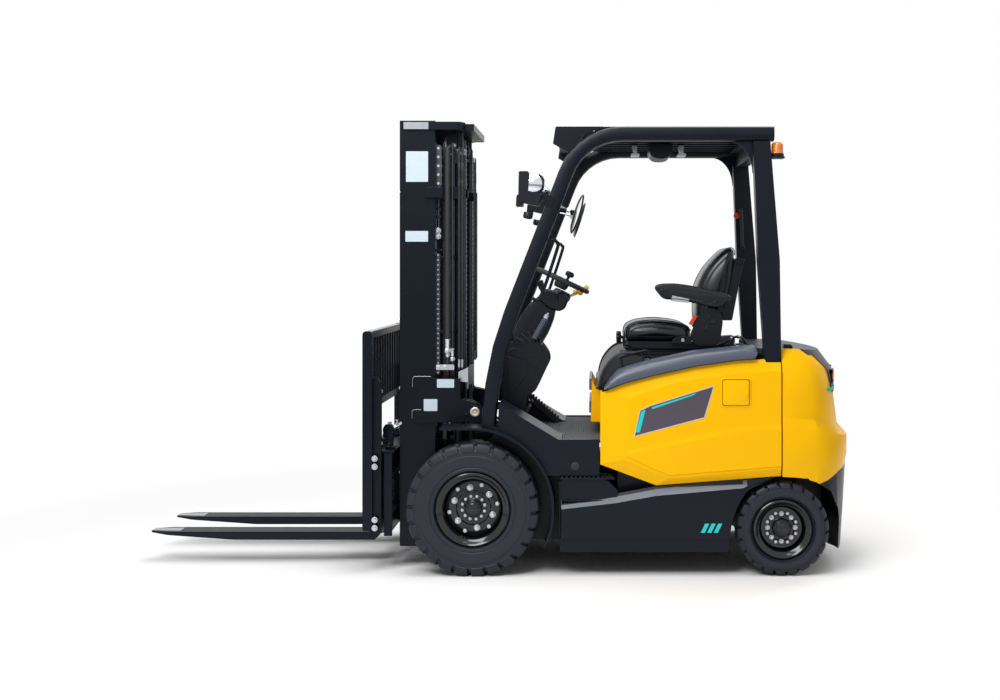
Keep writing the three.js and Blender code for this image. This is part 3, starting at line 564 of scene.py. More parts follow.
def count_setting(name, description, default, low, high):
    return bpy.props.IntProperty(name=name, description=description, default=default, min=low, max=high)


def power_setting(name, description, default):
    return bpy.props.FloatProperty(
        name=name, description=description, subtype="POWER", unit="POWER", default=default, min=0.0
    )


class ForkliftColours(bpy.types.PropertyGroup):
    enamel: colour_setting("Enamel", "Body panels and counterweight", "#FFBF00")
    frame_paint: colour_setting("Frame paint", "Overhead guard, fenders and skirts", "#0A101C")
    mast_paint: colour_setting("Mast paint", "Mast, carriage and forks", "#080E19")
    trim: colour_setting("Trim", "Moulded hood trim and rear cover", "#4A5160")
    moulding: colour_setting("Mouldings", "Console, dash and seat shells", "#0B0F18")
    tyre: colour_setting("Tyre rubber", "Solid tyres", "#1A1F29")
    mat: colour_setting("Floor mat", "Ribbed rubber on the floor", "#55585C")
    seat: colour_setting("Seat vinyl", "Cushion, backrest and armrest", "#05080F")
    stripe: colour_setting("Stripe", "Cut film stripes on the skirts", "#00D0D0")


class ForkliftWheels(bpy.types.PropertyGroup):
    front_lugs: count_setting("Front lugs", "Tread lugs round a front tyre", 24, 12, 40)
    rear_lugs: count_setting("Rear lugs", "Tread lugs round a rear tyre", 22, 12, 40)
    groove_depth: length_setting("Groove depth", "How deep the tread is cut", 0.014, 0.004, 0.025)


class ForkliftMast(bpy.types.PropertyGroup):
    chain_pitch: length_setting("Chain pitch", "Pin spacing of the leaf chains", 0.025, 0.012, 0.05)
    hose_diameter: length_setting("Hose diameter", "Outside diameter of the mast hoses", 0.022, 0.01, 0.03)


class ForkliftSeat(bpy.types.PropertyGroup):
    crown: length_setting("Crown", "How far the cushion's middle stands above its edges", 0.022, 0.0, 0.05)
    channel_depth: length_setting("Channel depth", "Depth of the sewn channels", 0.006, 0.0, 0.015)


class ForkliftStage(bpy.types.PropertyGroup):
    camera_distance: length_setting(
        "Camera distance", "Camera's distance from the machine's middle plane", 6.8, 3.0, 20.0
    )
    lens: bpy.props.FloatProperty(
        name="Lens", description="Focal length in millimetres", default=45.8, min=20.0, max=120.0
    )
    world_strength: bpy.props.FloatProperty(
        name="World", description="Strength of the surrounding light", default=0.3, min=0.0, max=2.0
    )
    key_power: power_setting("Key", "Power of the key lamp", 190.0)
    top_power: power_setting("Top", "Power of the overhead lamp", 190.0)
    fill_power: power_setting("Fill", "Power of the lamp behind the machine", 90.0)


SETTINGS = (
    ("forklift_colours", ForkliftColours),
    ("forklift_wheels", ForkliftWheels),
    ("forklift_mast", ForkliftMast),
    ("forklift_seat", ForkliftSeat),
    ("forklift_stage", ForkliftStage),
)


def pairs(*names):
    """The left and the right node of each name."""
    return [f"{label}_{name}" for name in names for label in ("left", "right")]


class FORKLIFT_OT_finishes(bpy.types.Operator):
    """Makes the materials and gives the carried-over nodes theirs"""

    bl_idname = "forklift.finishes"
    bl_label = "Finishes"

    def execute(self, context):
        MATERIALS.update(finishes(context.scene.forklift_colours))
        finish_nodes(
            ["main_frame", "drive_axle", "steer_axle", "rear_bumper", "rear_hoop", "roof_guard", "pedals"],
            "powder", 3.0,
        )
        finish_nodes(pairs("fender", "side_skirt", "guard_rail", "knuckle"), "powder", 3.0)
        finish_nodes(
            ["outer_mast", "inner_mast", "carriage", "side_shifter", "load_backrest"], "mast_paint", 1.6
        )
        finish_nodes(pairs("tilt_barrel"), "mast_paint", 1.6)
        finish_nodes(pairs("fork"), "forged", 3.0)
        finish_nodes(["counterweight", "seat_front_panel"], "enamel", 6.0, 3)
        finish_nodes(pairs("body_panel"), "enamel", 0, crease=2)
        finish_nodes(["charge_flap"], "enamel", 0.8)
        finish_nodes(["rear_cover"], "cover_grey", 5.0, 3)
        finish_nodes(["dash_cowl", "seat_base", "steering_column"], "abs_black", 4.0, 3)
        finish_nodes(["floor_plate"], "mat", 2.0)
        finish_nodes(["battery_block"], "powder", 4.0)
        finish_nodes(pairs("tilt_rod"), "chrome", 1.0)
        finish_nodes(["lift_chains"], "chain", 0.5)
        finish_nodes(["seat_cushion", "seat_backrest", "armrest"], "vinyl", 8.0, 3)
        finish_nodes(["steering_wheel"], "rubber", 0)
        finish_nodes(pairs("headlamp", "mirror"), "abs_black", 2.0)
        finish_nodes(["beacon"], "amber", 2.0)
        return {"FINISHED"}


# ----- wheels

# Places round one lug where the tread's cut starts, deepens and ends, for both shoulders at once.
LUG_STEPS = (0, 0.05, 0.09, 0.12, 0.25, 0.38, 0.41, 0.45, 0.5, 0.55, 0.59, 0.62, 0.75, 0.88, 0.91, 0.95)


def groove(phase):
    """How far the tread is cut at a place round the lug: 1 is the bottom of the groove."""
    away = abs((phase + 0.5) % 1 - 0.5)
    return min(1.0, max(0.0, (0.122 - away) / 0.03))


def tyre_form(size, lugs, depth):
    """A solid tyre: ribbed sidewalls and slanted lugs cut from both shoulders."""
    top, half, lip = size["radius"], size["width"] / 2, size["rim"]
    wall = top - lip
    # Radius and place across, from the bead to the shoulder.
    wall_steps = [
        (lip - 12, half - 34), (lip + 2, half - 27), (lip + 5, half - 18), (lip + 12, half - 9),
        (lip + wall * 0.16, half - 6), (lip + wall * 0.185, half - 8.5), (lip + wall * 0.2, half - 8.5),
        (lip + wall * 0.225, half - 5), (lip + wall * 0.4, half - 1.5), (lip + wall * 0.52, half),
        (lip + wall * 0.56, half), (lip + wall * 0.58, half - 2.5), (lip + wall * 0.7, half - 4),
    ]
    # The same at full height, then how far the tread's cut takes each inward and across.
    tread_steps = [
        (lip + wall * 0.72, half - 1.5, 0.1, 2), (lip + wall * 0.84, half - 4, 0.5, 12),
        (top - 12, half - 8, 0.8, 15),
        (top - 4, half - 13, 1, 13), (top - 1, half - 20, 1, 8), (top, half - 30, 1, 3),
        (top, half * 0.45, 1, 0),
        (top, half * 0.34, 1, 0), (top, half * 0.28, 0, 0),
    ]
    side = [(*step, 0, 0) for step in wall_steps] + tread_steps
    across = [(*step, 1) for step in side] + [(top, 0, 0, 0, 0)] + [(*step, -1) for step in reversed(side)]
    pitch = 2 * math.pi / lugs
    rings = []
    for lug in range(lugs):
        for phase in LUG_STEPS:
            ring = []
            for r, y, cut, shift, hand in across:
                slant = 0.22 * (y / half) ** 1.5 if hand else 0
                deep = groove(phase if hand > 0 else phase + 0.5)
                turn = (lug + phase + slant) * pitch
                radius = r - deep * cut * depth
                place_y = hand * (y - deep * shift)
                ring.append((size["x"] + radius * math.cos(turn), place_y, top + radius * math.sin(turn)))
            rings.append(ring)
    return Form().skin(rings, looped=True)


def rim_form(size, boss):
    """A pressed steel wheel: rolled lips, stepped barrel, dished disc and hub boss."""
    lip, seat, half = size["rim"], size["seat"], size["width"] / 2
    bore = seat - 12
    inner = [(0, 34), (boss * 0.82, 34), (boss * 0.95, 31), (boss, 24), (boss + 2, 12), (boss + 8, 8)]
    face = [
        (bore * 0.56, 8), (bore * 0.6, 13), (bore * 0.9, 13), (bore * 0.95, 8), (bore - 5, -2),
        (bore - 1, 8), (bore, half * 0.45), (bore + 3, half * 0.5), (bore + 4, half - 30),
        (lip - 16, half - 20), (lip - 9, half - 12),
        (lip - 4, half - 10), (lip, half - 13), (lip + 0.5, half - 18), (lip - 3, half - 23),
        (seat - 1, half - 30),
    ]
    back = [
        (seat - 1, 30 - half), (lip - 3, 23 - half), (lip, 13 - half), (lip - 4, 10 - half),
        (lip - 12, 14 - half), (bore + 2, 34 - half), (bore, -22),
    ]
    rear = [(bore - 26, -12), (boss, -12), (0, -12)]
    return Form().lathe(inner + face + back + rear, (0, 0, 0), ACROSS, 72)


def ring_of(count, radius, start=0.0):
    """Points (x, z) evenly round a circle, the first at a start in degrees."""
    turns = [math.radians(start) + 2 * math.pi * i / count for i in range(count)]
    return [(radius * math.cos(turn), radius * math.sin(turn)) for turn in turns]


def wheel_place(size, side):
    """Moves a wheel drawn round the origin, outer face towards +Y, to its axle end."""
    turn = Matrix.Identity(4) if side > 0 else MIRROR
    return Matrix.Translation((size["x"], side * size["y"], size["radius"])) @ turn


def wheel_bolts(front):
    """Nuts, studs and hub screws on the outer face of a wheel."""
    form = Form()
    if front:
        for x, z in ring_of(6, 101, 20):
            form.lathe([(0, 12), (16, 12), (16, 16), (14, 17), (0, 17)], (x, 0, z), ACROSS, 20)
            form.nut((x, 16, z), ACROSS, 25, 16, 9)
        for x, z in ring_of(6, 120, 50):
            form.nut((x, 12, z), ACROSS, 20, 11, 6)
        for x, z in ring_of(12, 57, 17):
            form.nut((x, 7, z), ACROSS, 15, 10, 4)
    else:
        for x, z in ring_of(8, 68.6):
            form.lathe(rect(0, 12, 12, 15), (x, 0, z), ACROSS, 20)
            form.nut((x, 14.5, z), ACROSS, 18, 13, 6)
        for x, z in ring_of(8, 76, 22.5):
            form.nut((x, 12, z), ACROSS, 16, 11, 5)
    return form


def hub_cap(radius):
    shares = ((0, 58), (0.5, 56), (0.78, 50), (0.8, 44), (0.96, 42), (1, 38), (1, 33), (0, 33))
    return Form().lathe([(radius * share, y) for share, y in shares], (0, 0, 0), ACROSS, 40)


class FORKLIFT_OT_tyres(bpy.types.Operator):
    """Moulds the four solid tyres with their tread"""

    bl_idname = "forklift.tyres"
    bl_label = "Tyres"

    def execute(self, context):
        settings = context.scene.forklift_wheels
        for end, size, lugs in (
            ("front", FRONT_TYRE, settings.front_lugs), ("rear", REAR_TYRE, settings.rear_lugs)
        ):
            for side, label in SIDES:
                form = tyre_form(size, lugs, settings.groove_depth * 1000)
                form.moved(Matrix.Translation((0, side * size["y"], 0)))
                body = f"wheel_{end}_{label}"
                make(form, f"{end}_{label}_solid_tyre", "tyre", body, stands_for=[f"{end}_{label}_tyre"])
        return {"FINISHED"}


class FORKLIFT_OT_rims(bpy.types.Operator):
    """Presses the steel rims and sets their nuts and hub caps"""

    bl_idname = "forklift.rims"
    bl_label = "Rims"

    def execute(self, context):
        for end, size, boss in (("front", FRONT_TYRE, 40), ("rear", REAR_TYRE, 44)):
            for side, label in SIDES:
                body = f"wheel_{end}_{label}"
                to_axle = wheel_place(size, side)
                rim = rim_form(size, boss).moved(to_axle)
                make(rim, f"{end}_{label}_pressed_rim", "rim_paint", body, stands_for=[f"{end}_{label}_rim"])
                nuts = wheel_bolts(end == "front").moved(to_axle)
                make(nuts, f"{end}_{label}_wheel_nuts", "zinc", body, 0.6)
                cap = hub_cap(boss * 0.9).moved(to_axle)
                make(cap, f"{end}_{label}_hub_cap", "rim_paint", body, 1.0)
        return {"FINISHED"}


# ----- bodywork


def offset_outline(points, distance):
    """The outline moved inward by a distance; points run anticlockwise."""
    inner = []
    count = len(points)
    for i in range(count):
        a, b, c = (Vector(points[j % count][:2]) for j in (i - 1, i, i + 1))
        into, out = (b - a).normalized(), (c - b).normalized()
        n1, n2 = Vector((-into.y, into.x)), Vector((-out.y, out.x))
        shift = (n1 + n2) / max(0.3, 1 + n1.dot(n2))
        inner.append(tuple(b + shift * distance))
    return inner


def skirt():
    """Sheet skirt: a face with a broad chamfer along its top, and a set-back kick strip."""
    arch_side = [
        on_circle((-WHEELBASE, REAR_TYRE["radius"]), 256, turn) for turn in (86, 72, 58, 44, 30, 16, 4)
    ]
    full = [
        (-430, 184), (-430, 372), (-705, 402), (-900, 438), (-1518, 482), *arch_side, (-1268, 205), (-1262, 184)
    ]
    face = [
        (-436, 184), (-436, 330), (-705, 361), (-900, 396), (-1330, 434), (-1352, 424), (-1352, 420),
        (-1345, 416), (-1322, 380), (-1296, 330), (-1280, 285), (-1270, 240), (-1266, 205), (-1262, 184),
    ]
    form = Form().slices((full, 520), (full, 524), (face, SKIRT_Y))
    form.prism([(-430, 119), (-430, 190), (-1264, 190), (-1255, 119)], 541, 552)
    return form


def skirt_painted_highlight_band():
    """A pale grey sheet over the broad chamfer along the skirt's top: a painted highlight where the chamfer
    catches the light.
    """
    rings = []
    for x, high, low in (
        (-436, 372, 330), (-705, 402, 361), (-900, 438, 396), (-1330, 467, 434), (-1350, 469, 446)
    ):
        rings.append(
            [(x, 524.6, high - 1), (x, SKIRT_Y + 0.6, low), (x, SKIRT_Y - 6, low - 2), (x, 521, high - 6)]
        )
    return Form().skin(rings)


def skirt_step():
    """The boarding step: a toothed tread over a set-back riser."""
    form = Form()
    form.prism(rect(-700, -428, 474, 482), 405, 548)
    form.prism(rect(-692, -436, 366, 372), 410, 546)
    form.prism(
        [(-436, 366), (-436, 474), (-640, 474), (-672, 462), (-712, 420), (-712, 396), (-704, 366)], 526, 538
    )
    for x in range(-690, -430, 22):
        form.prism([(x, 480), (x + 3, 491), (x + 11, 491), (x + 14, 480)], 530, 547)
        form.prism([(x + 5, 480), (x + 8, 490), (x + 14, 490), (x + 17, 480)], 480, 497)
        form.prism([(x, 480), (x + 3, 490), (x + 9, 490), (x + 12, 480)], 432, 448)
    return form


def slashes():
    form = Form()
    for i in range(3):
        x = -1120 - i * 32
        form.prism([(x, 215), (x - 20, 215), (x - 42, 260), (x - 22, 260)], SKIRT_Y + 0.2, SKIRT_Y + 0.9)
    return form


BADGE = [(-793, 684), (-822, 814), (-872, 838), (-1189, 936), (-1141, 777)]


def badge_border():
    return Form().prism(BADGE, BODY_Y - 1, BODY_Y + 0.8)


def badge_face():
    return Form().prism(offset_outline(BADGE, 4), BODY_Y, BODY_Y + 1.3)


def badge_flash():
    form = Form().prism([(-803, 706), (-829, 808), (-850, 818), (-822, 706)], BODY_Y, BODY_Y + 1.7)
    return form.prism([(-880, 829), (-1100, 899), (-1088, 889), (-884, 820)], BODY_Y, BODY_Y + 1.7)


def flap_outline(grow=0):
    return rect(-1361 - grow, -1229 + grow, 838 - grow, 965 + grow, 18)


def flap():
    outer, inner = rounded(flap_outline(), 6), rounded(flap_outline(-9), 6)
    form = Form().slices((outer, 539), (outer, 545), (inner, 548))
    form.prism([(-1356, 890, 5), (-1341, 888, 7), (-1338, 902, 7), (-1341, 917, 7), (-1356, 915, 5)], 540, 555)
    return form


def flap_frame():
    """A raised frame round the flap."""
    outer, inner = rounded(flap_outline(10), 6), rounded(flap_outline(3), 6)
    return Form().slices((outer, 540), (outer, 547), (inner, 549), (inner, 540), looped=True)


def floor_ribs():
    form = Form()
    x = -618
    while x < -262:
        half = 258 if x > -436 else 496
        for low, high in ((-half, -half / 3 - 3), (-half / 3 + 3, half / 3 - 3), (half / 3 + 3, half)):
            form.prism([(x, 659), (x + 1.5, 663.5), (x + 5.5, 663.5), (x + 7, 659)], low, high)
        x += 13
    return form


def front_bands(spans):
    form = Form()
    for z0, z1 in spans:
        form.prism([(-586, z0, 3), (-571, z0, 6), (-571, z1, 6), (-586, z1, 3)], -248, 248)
    return form


def cover_line():
    """The teal line along the rear cover's lower edge."""
    return tail_strip(Form(), 440, 897, 17, 7)


def x_at_tail(y, z):
    """The tail's skin, as an X place, behind the rear cover at a distance across."""
    turn = math.asin(max(-1.0, min(1.0, y / 529)))
    rear, corner = (-1846, -1670) if z > 800 else (-1922, -1700)
    return corner - (corner - rear) * math.cos(turn)


def tail_strip(form, half, z, height, proud):
    """A strip across the rear cover that follows its bow."""
    rings = []
    for i in range(13):
        y = half * (i - 6) / 6
        x = x_at_tail(y, z) + (z - 905) * 0.115
        rings.append([(x - proud, y, z), (x + 12, y, z), (x + 12, y, z + height), (x - proud, y, z + height)])
    return form.skin(rings)


def cover_grille():
    form = Form()
    for i in range(7):
        tail_strip(form, 190, 925 + i * 13, 5, 7)
    return form


def fender_plug():
    """The rubber plug that closes a hole in the floor's side plate."""
    return Form().lathe([(0, -2), (21, -2), (21, 2), (18, 4), (12, 5), (0, 5)], (-504, 528, 536), ACROSS, 32)


def cover_latch():
    """The moulded pull on top of the rear cover."""
    return Form().prism(
        [(-1552, 1100), (-1600, 1098), (-1600, 1120, 3), (-1590, 1128, 3), (-1556, 1130, 3)], 330, 372
    )


def tow_pin():
    """The drawbar pin, with its bent grip, in the counterweight's pocket."""
    form = Form()
    form.tube([(-1916, 0, 440), (-1916, 0, 522), (-1912, 0, 532), (-1900, 0, 536)], 8, 14)
    form.prism([(-1924, 500), (-1924, 512), (-1896, 518), (-1896, 494)], -30, 30)
    form.prism([(-1924, 440), (-1924, 452), (-1896, 458), (-1896, 434)], -30, 30)
    return form


def rear_lamp(z0, z1, proud):
    """A lamp strip let flush into the rear cover's corner."""
    rings = []
    for y in (240, 265, 290, 315, 340):
        x = x_at_tail(y, z0) + 2.4
        rings.append([(x - proud, y, z0), (x + 12, y, z0), (x + 12, y, z1), (x - proud, y, z1)])
    return Form().skin(rings)


class FORKLIFT_OT_bodywork(bpy.types.Operator):
    """Builds the skirts, steps, badge plates, charge flap, floor ribs and rear fittings"""

    bl_idname = "forklift.bodywork"
    bl_label = "Bodywork"

    def execute(self, context):
        both_sides(skirt, "skirt_sheet", "powder", "chassis", 1.5, stands_for="{side}_side_skirt")
        # pale grey over the skirt's black chamfer: a painted highlight
        both_sides(skirt_painted_highlight_band, "skirt_painted_highlight_band", "abs_grey", "chassis")
        both_sides(skirt_step, "boarding_step", "powder", "chassis", 0.8)
        both_sides(slashes, "skirt_stripes", "teal", "chassis", slot="yellow_paint")
        both_sides(badge_border, "badge_border", "edge_foil", "chassis")
        both_sides(badge_face, "badge_plate", "badge", "chassis")
        both_sides(badge_flash, "badge_flash", "teal", "chassis")
        make(flap(), "charge_flap_cover", "enamel", "charge_door", 1.2, 3, ["charge_flap"])
        make_each(
            "chassis",
            (flap_frame(), "charge_flap_frame", "enamel", 0.8),
            (floor_ribs(), "floor_mat_ribs", "mat"),
            (front_bands([(886, 944), (768, 828)]), "seat_front_bands", "abs_grey", 1.0),
            (cover_line(), "rear_cover_line", "teal_dark"),
        )
        make(cover_grille(), "rear_cover_louvres", "abs_black", "chassis", 0.6, slot="grey_trim")
        both_sides(fender_plug, "floor_side_plug", "rubber", "chassis", 0.6)
        make_each(
            "chassis",
            (cover_latch(), "rear_cover_pull", "abs_black", 1.5),
            (tow_pin(), "tow_pin", "zinc", 0.6),
        )
        both_sides(lambda: rear_lamp(926, 1000, 6), "rear_lamp_shell", "abs_black", "chassis", 2.0)
        both_sides(lambda: rear_lamp(978, 996, 9), "rear_stop_lens", "lamp_red", "chassis", 2.0)
        both_sides(lambda: rear_lamp(955, 974, 9), "rear_turn_lens", "amber", "chassis", 2.0)
        both_sides(lambda: rear_lamp(932, 951, 9), "rear_reversing_lens", "lens", "chassis", 2.0)
        return {"FINISHED"}


# ----- overhead guard fittings


def rear_gusset():
    """A curved web in the corner between the guard rail and the rear leg."""
    points = [(-1386, 2143), (-1386, 1985)]
    for degrees in range(0, 91, 10):
        turn = math.radians(degrees)
        points.append((-1384 + 118 * (1 - math.cos(turn)), 2143 - 158 * (1 - math.sin(turn))))
    return Form().prism(points + [(-1266, 2143)], 470, 480)


def grab_handle():
    path = [
        (-382, 452, 1649), (-400, 442, 1652), (-412, 438, 1640), (-414, 436, 1615), (-350, 436, 1420),
        (-328, 440, 1372), (-314, 446, 1352), (-290, 454, 1362),
    ]
    return Form().bend(path, 6, 8.5, 12)


def pillar_handle():
    """A grab handle on the right rear leg, with round caps at its ends; its horn button is a piece of its own.
    """
    path = [
        (-1426, -428, 1840), (-1426, -410, 1835), (-1428, -402, 1815), (-1434, -402, 1660), (-1438, -410, 1640),
        (-1440, -428, 1634),
    ]
    form = Form().bend(path, 6, 10, 14)
    for x, z in ((-1426, 1842), (-1440, 1632)):
        form.lathe([(0, 0), (16, 0), (16, 9), (13, 12), (0, 12)], (x, -440, z), ACROSS, 24)
    return form


def horn_button():
    return Form().lathe([(0, 0), (17, 0), (17, 12), (8, 14), (7, 19), (0, 20)], (-1404, -438, 1812), ACROSS, 24)


def roof_unit():
    """The rounded unit hung under the roof."""
    outline = [
        (-884, 2166), (-884, 2120, 24), (-910, 2088, 40), (-984, 2088, 40), (-1008, 2120, 24), (-1008, 2166)
    ]
    return Form().prism(outline, -120, 120)


def roof_unit_clamps():
    form = Form()
    for x in (-815, -1062):
        form.prism(
            [
                (x - 22, 2110, 4), (x + 22, 2110, 4), (x + 22, 2122, 4), (x + 6, 2126), (x + 18, 2164),
                (x - 10, 2164), (x - 8, 2124), (x - 22, 2122, 4),
            ],
            -60, 60,
        )
    return form


def lamp_housing():
    """The headlamp's moulded shell, drawn from the side."""
    points = [
        (-225, 1993, 8), (-272, 1993, 8), (-296, 1914), (-336, 1870, 14), (-324, 1818, 12), (-222, 1842, 10)
    ]
    return Form().prism(points, 438, 522)


def lamp_bowl():
    """A metallised bowl that opens forward."""
    profile = [(24, -2), (32, 10), (37, 30), (39, 44), (36, 44), (34, 30), (29, 14), (20, 4), (0, 2), (0, -2)]
    form = Form().lathe(profile, (-287, 480, 1918), (1, 0, 0.08), 40)
    return form.lathe(
        [(0, 0), (56, 0), (58, 20), (56, 40), (44, 62), (26, 74), (0, 78)], (-276, 480, 1932), (-1, 0, -0.1), 40
    )


def lamp_glass():
    return Form().lathe(
        [(0, 6), (24, 4), (37, -2), (37, 1), (24, 9), (0, 12)], (-232, 480, 1918), (1, 0, 0.08), 40
    )


def turn_lamp():
    return Form().prism([(-210, 1818, 6), (-214, 1878, 10), (-246, 1878, 10), (-246, 1818, 6)], 446, 514)


def turn_lens():
    return Form().prism([(-209, 1828, 4), (-212, 1868, 6), (-222, 1868, 4), (-222, 1828, 4)], 456, 504)


def side_lamp():
    return Form().lathe(
        [(0, 0), (22, 0), (24, 4), (24, 24), (18, 32), (0, 34)], (-272, 480, 1790), (0.2, 0, -1), 28
    )


def lamp_clamp():
    """The steel band that holds the lamp bracket to the pillar."""
    form = Form()
    form.prism([(-344, 1890, 4), (-404, 1862, 4), (-384, 1812, 4), (-324, 1840, 4)], 506, 514)
    form.prism([(-320, 1900, 4), (-346, 1892, 4), (-326, 1822, 4), (-296, 1832, 4)], 452, 512)
    form.screws([(-336, 514, 1872), (-344, 514, 1838)], ACROSS, 13, 7, 2)
    return form


MIRROR_SPOT = (-506, 400, 1787)
MIRROR_TILT = (math.cos(math.radians(17.7)), -0.09, math.sin(math.radians(17.7)))


def mirror_shell():
    profile = [(0, 8), (50, 7), (88, 2), (101, -4), (103, -9), (99, -10), (97, -5), (0, -5)]
    form = Form().lathe(profile, MIRROR_SPOT, MIRROR_TILT, 56)
    return form.lathe([(0, 0), (13, 0), (14, 12), (9, 20), (0, 21)], (-498, 399, 1790), MIRROR_TILT, 20)


def mirror_glass():
    profile = [(0, -10), (50, -8.6), (98, -4.6), (98, -3), (0, -3)]
    return Form().lathe(profile, MIRROR_SPOT, MIRROR_TILT, 56)


def mirror_arm():
    form = Form().bend([(-486, 400, 1797), (-470, 404, 1806), (-440, 420, 1818), (-402, 436, 1826)], 5, 6, 12)
    form.lathe([(0, -12), (11, -12), (13, -6), (13, 6), (11, 12), (0, 12)], (-470, 405, 1806), (0, 1, 0.3), 20)
    return form


def beacon_dome():
    profile = [(0, 58), (14, 57.5), (23, 54), (27, 47)]
    for step in range(6):
        z = 44 - step * 6.5
        profile += [(30, z), (28.2, z - 3.2)]
    profile += [(30.5, 4), (30.5, 0), (0, 0)]
    return Form().lathe(profile, (-1508, 475, 2083), UP, 48)


def beacon_base():
    form = Form().lathe([(0, 0), (32, 0), (33, 4), (33, 14), (28, 17), (0, 17)], (-1508, 475, 2067), UP, 40)
    return form.prism([(-1541, 2057, 3), (-1480, 2057, 3), (-1480, 2069, 3), (-1541, 2067, 3)], 443, 507)


def roof_cap():
    """The top sheet's pressed rib and its edge screws."""
    form = Form()
    form.prism([(-862, 2221), (-870, 2227, 3), (-1035, 2227, 3), (-1043, 2221)], -330, 330)
    for y in (-380, 380):
        form.screws([(x, y, 2221.5) for x in range(-1400, -600, 190)], UP, 13, 4, 1.5)
    return form


class FORKLIFT_OT_guard(bpy.types.Operator):
    """Fits the overhead guard: gussets, handles, lamps, mirrors and beacon"""

    bl_idname = "forklift.guard"
    bl_label = "Overhead guard fittings"

    def execute(self, context):
        both_sides(rear_gusset, "guard_gusset", "powder", "chassis", 1.0)
        both_sides(grab_handle, "grab_handle", "powder", "chassis")
        make_each(
            "chassis",
            (pillar_handle(), "rear_grab_handle", "rubber", 0.5),
            (horn_button(), "rear_horn_button", "abs_red", 0.5),
            (roof_unit(), "roof_unit", "abs_black", 3.0, 3),
            (roof_unit_clamps(), "roof_unit_clamps", "zinc", 1.0),
            (roof_cap(), "roof_cap_rib", "powder", 0.6),
        )
        both_sides(lamp_housing, "headlamp_shell", "abs_black", "chassis", 3.0, 3, "{side}_headlamp")
        both_sides(lamp_bowl, "headlamp_reflector", "reflector", "chassis")
        both_sides(lamp_glass, "headlamp_lens", "lens", "chassis")
        both_sides(turn_lamp, "turn_lamp_shell", "abs_black", "chassis", 1.5)
        both_sides(turn_lens, "turn_lamp_lens", "amber", "chassis", 2.0, 3)
        both_sides(side_lamp, "side_lamp", "abs_black", "chassis", 1.0)
        both_sides(lamp_clamp, "lamp_clamp", "powder", "chassis", 1.0)
        both_sides(mirror_shell, "mirror_shell", "abs_black", "chassis", 0, 2, "{side}_mirror")
        both_sides(mirror_glass, "mirror_pane", "mirror", "chassis")
        both_sides(mirror_arm, "mirror_arm", "zinc", "chassis")
        make_each(
            "chassis",
            (beacon_dome(), "beacon_dome", "amber", 0, 2, ["beacon"]),
            (beacon_base(), "beacon_base", "abs_black", 0.8),
        )
        return {"FINISHED"}


# ----- controls


WHEEL_TILT = Matrix.Translation((-430, 0, 1447)) @ Matrix.Rotation(math.radians(-25), 4, "Y")


def hand_wheel():
    form = Form()
    rim = [(math.cos(t) * 141, math.sin(t) * 141, 0) for t in [2 * math.pi * i / 72 for i in range(72)]]
    grip = [12 + 0.7 * math.cos(i * math.pi) for i in range(72)]
    form.tube(rim, grip, 14, looped=True)
    for turn in (90, 210, 330):
        spoke = [(30, -13), (80, -9), (136, -14), (136, 14), (80, 9), (30, 13)]
        turned = Matrix.Rotation(math.radians(turn), 3, "Z")
        flat = [tuple((turned @ Vector((u, v, 0)))[:2]) for u, v in spoke]
        form.prism(flat, -8, 2, "Z")
    form.lathe([(0, 8), (22, 8), (34, 3), (40, -8), (38, -30), (32, -44), (0, -44)], (0, 0, 0), UP, 40)
    return form.moved(WHEEL_TILT)


def spinner_knob():
    profile = [(0, 8), (9, 8), (7, 26), (9, 32), (20, 36), (24, 44), (23, 54), (16, 61), (0, 62)]
    return Form().lathe(profile, (-21, 139, 0), UP, 32).moved(WHEEL_TILT)


def lever_rods():
    form = Form()
    for x, y, z in LEVER_KNOBS:
        form.bend([(-405, y * 0.55, 1340), (-440, y * 0.8, 1352), (x + 18, y, z - 6), (x, y, z)], 5, 5, 10)
    return form


LEVER_KNOBS = ((-495, -112, 1383), (-521, -150, 1380), (-551, -188, 1405))


def lever_balls():
    form = Form()
    for x, y, z in LEVER_KNOBS:
        form.lathe(
            [(0, -15), (8, -14), (14, -6), (15, 2), (11, 11), (5, 15), (0, 16)], (x, y, z), (-0.6, 0, 0.8), 24
        )
    return form


def column_head():
    """The upper housing that carries the switches and the wheel's boss."""
    outline = [
        (-339, 1404, 8), (-318, 1384, 10), (-303, 1346, 14), (-356, 1298, 10), (-412, 1284, 10),
        (-440, 1298, 8), (-452, 1325, 8), (-462, 1352, 12), (-440, 1380, 10),
    ]
    form = Form()
    flat = rounded(outline)
    narrow = offset_outline([(x, z) for x, z in flat[::-1]], 7)[::-1]
    form.slices((narrow, -66), (flat, -56), (flat, 56), (narrow, 66))
    form.lathe([(0, 0), (46, 0), (52, 10), (50, 30), (42, 44), (0, 46)], (-413, 0, 1352), (-0.42, 0, 0.9), 36)
    return form


def column_arm():
    outer = [(-300, 1366), (-246, 1318), (-206, 1262), (-180, 1208), (-164, 1150), (-160, 1096)]
    inner = [(-392, 1290), (-381, 1240), (-366, 1200), (-349, 1162), (-330, 1130), (-312, 1096)]
    form = Form()
    rings = []
    for (ax, az), (bx, bz) in zip(outer, inner):
        ring = []
        for t, y in (
            (0, 30), (0.06, 44), (0.3, 50), (0.8, 50), (0.97, 40), (1, 20), (1, -20), (0.97, -40), (0.8, -50),
            (0.3, -50), (0.06, -44), (0, -30),
        ):
            ring.append((ax + (bx - ax) * t, y, az + (bz - az) * t))
        rings.append(ring)
    return form.skin(rings)


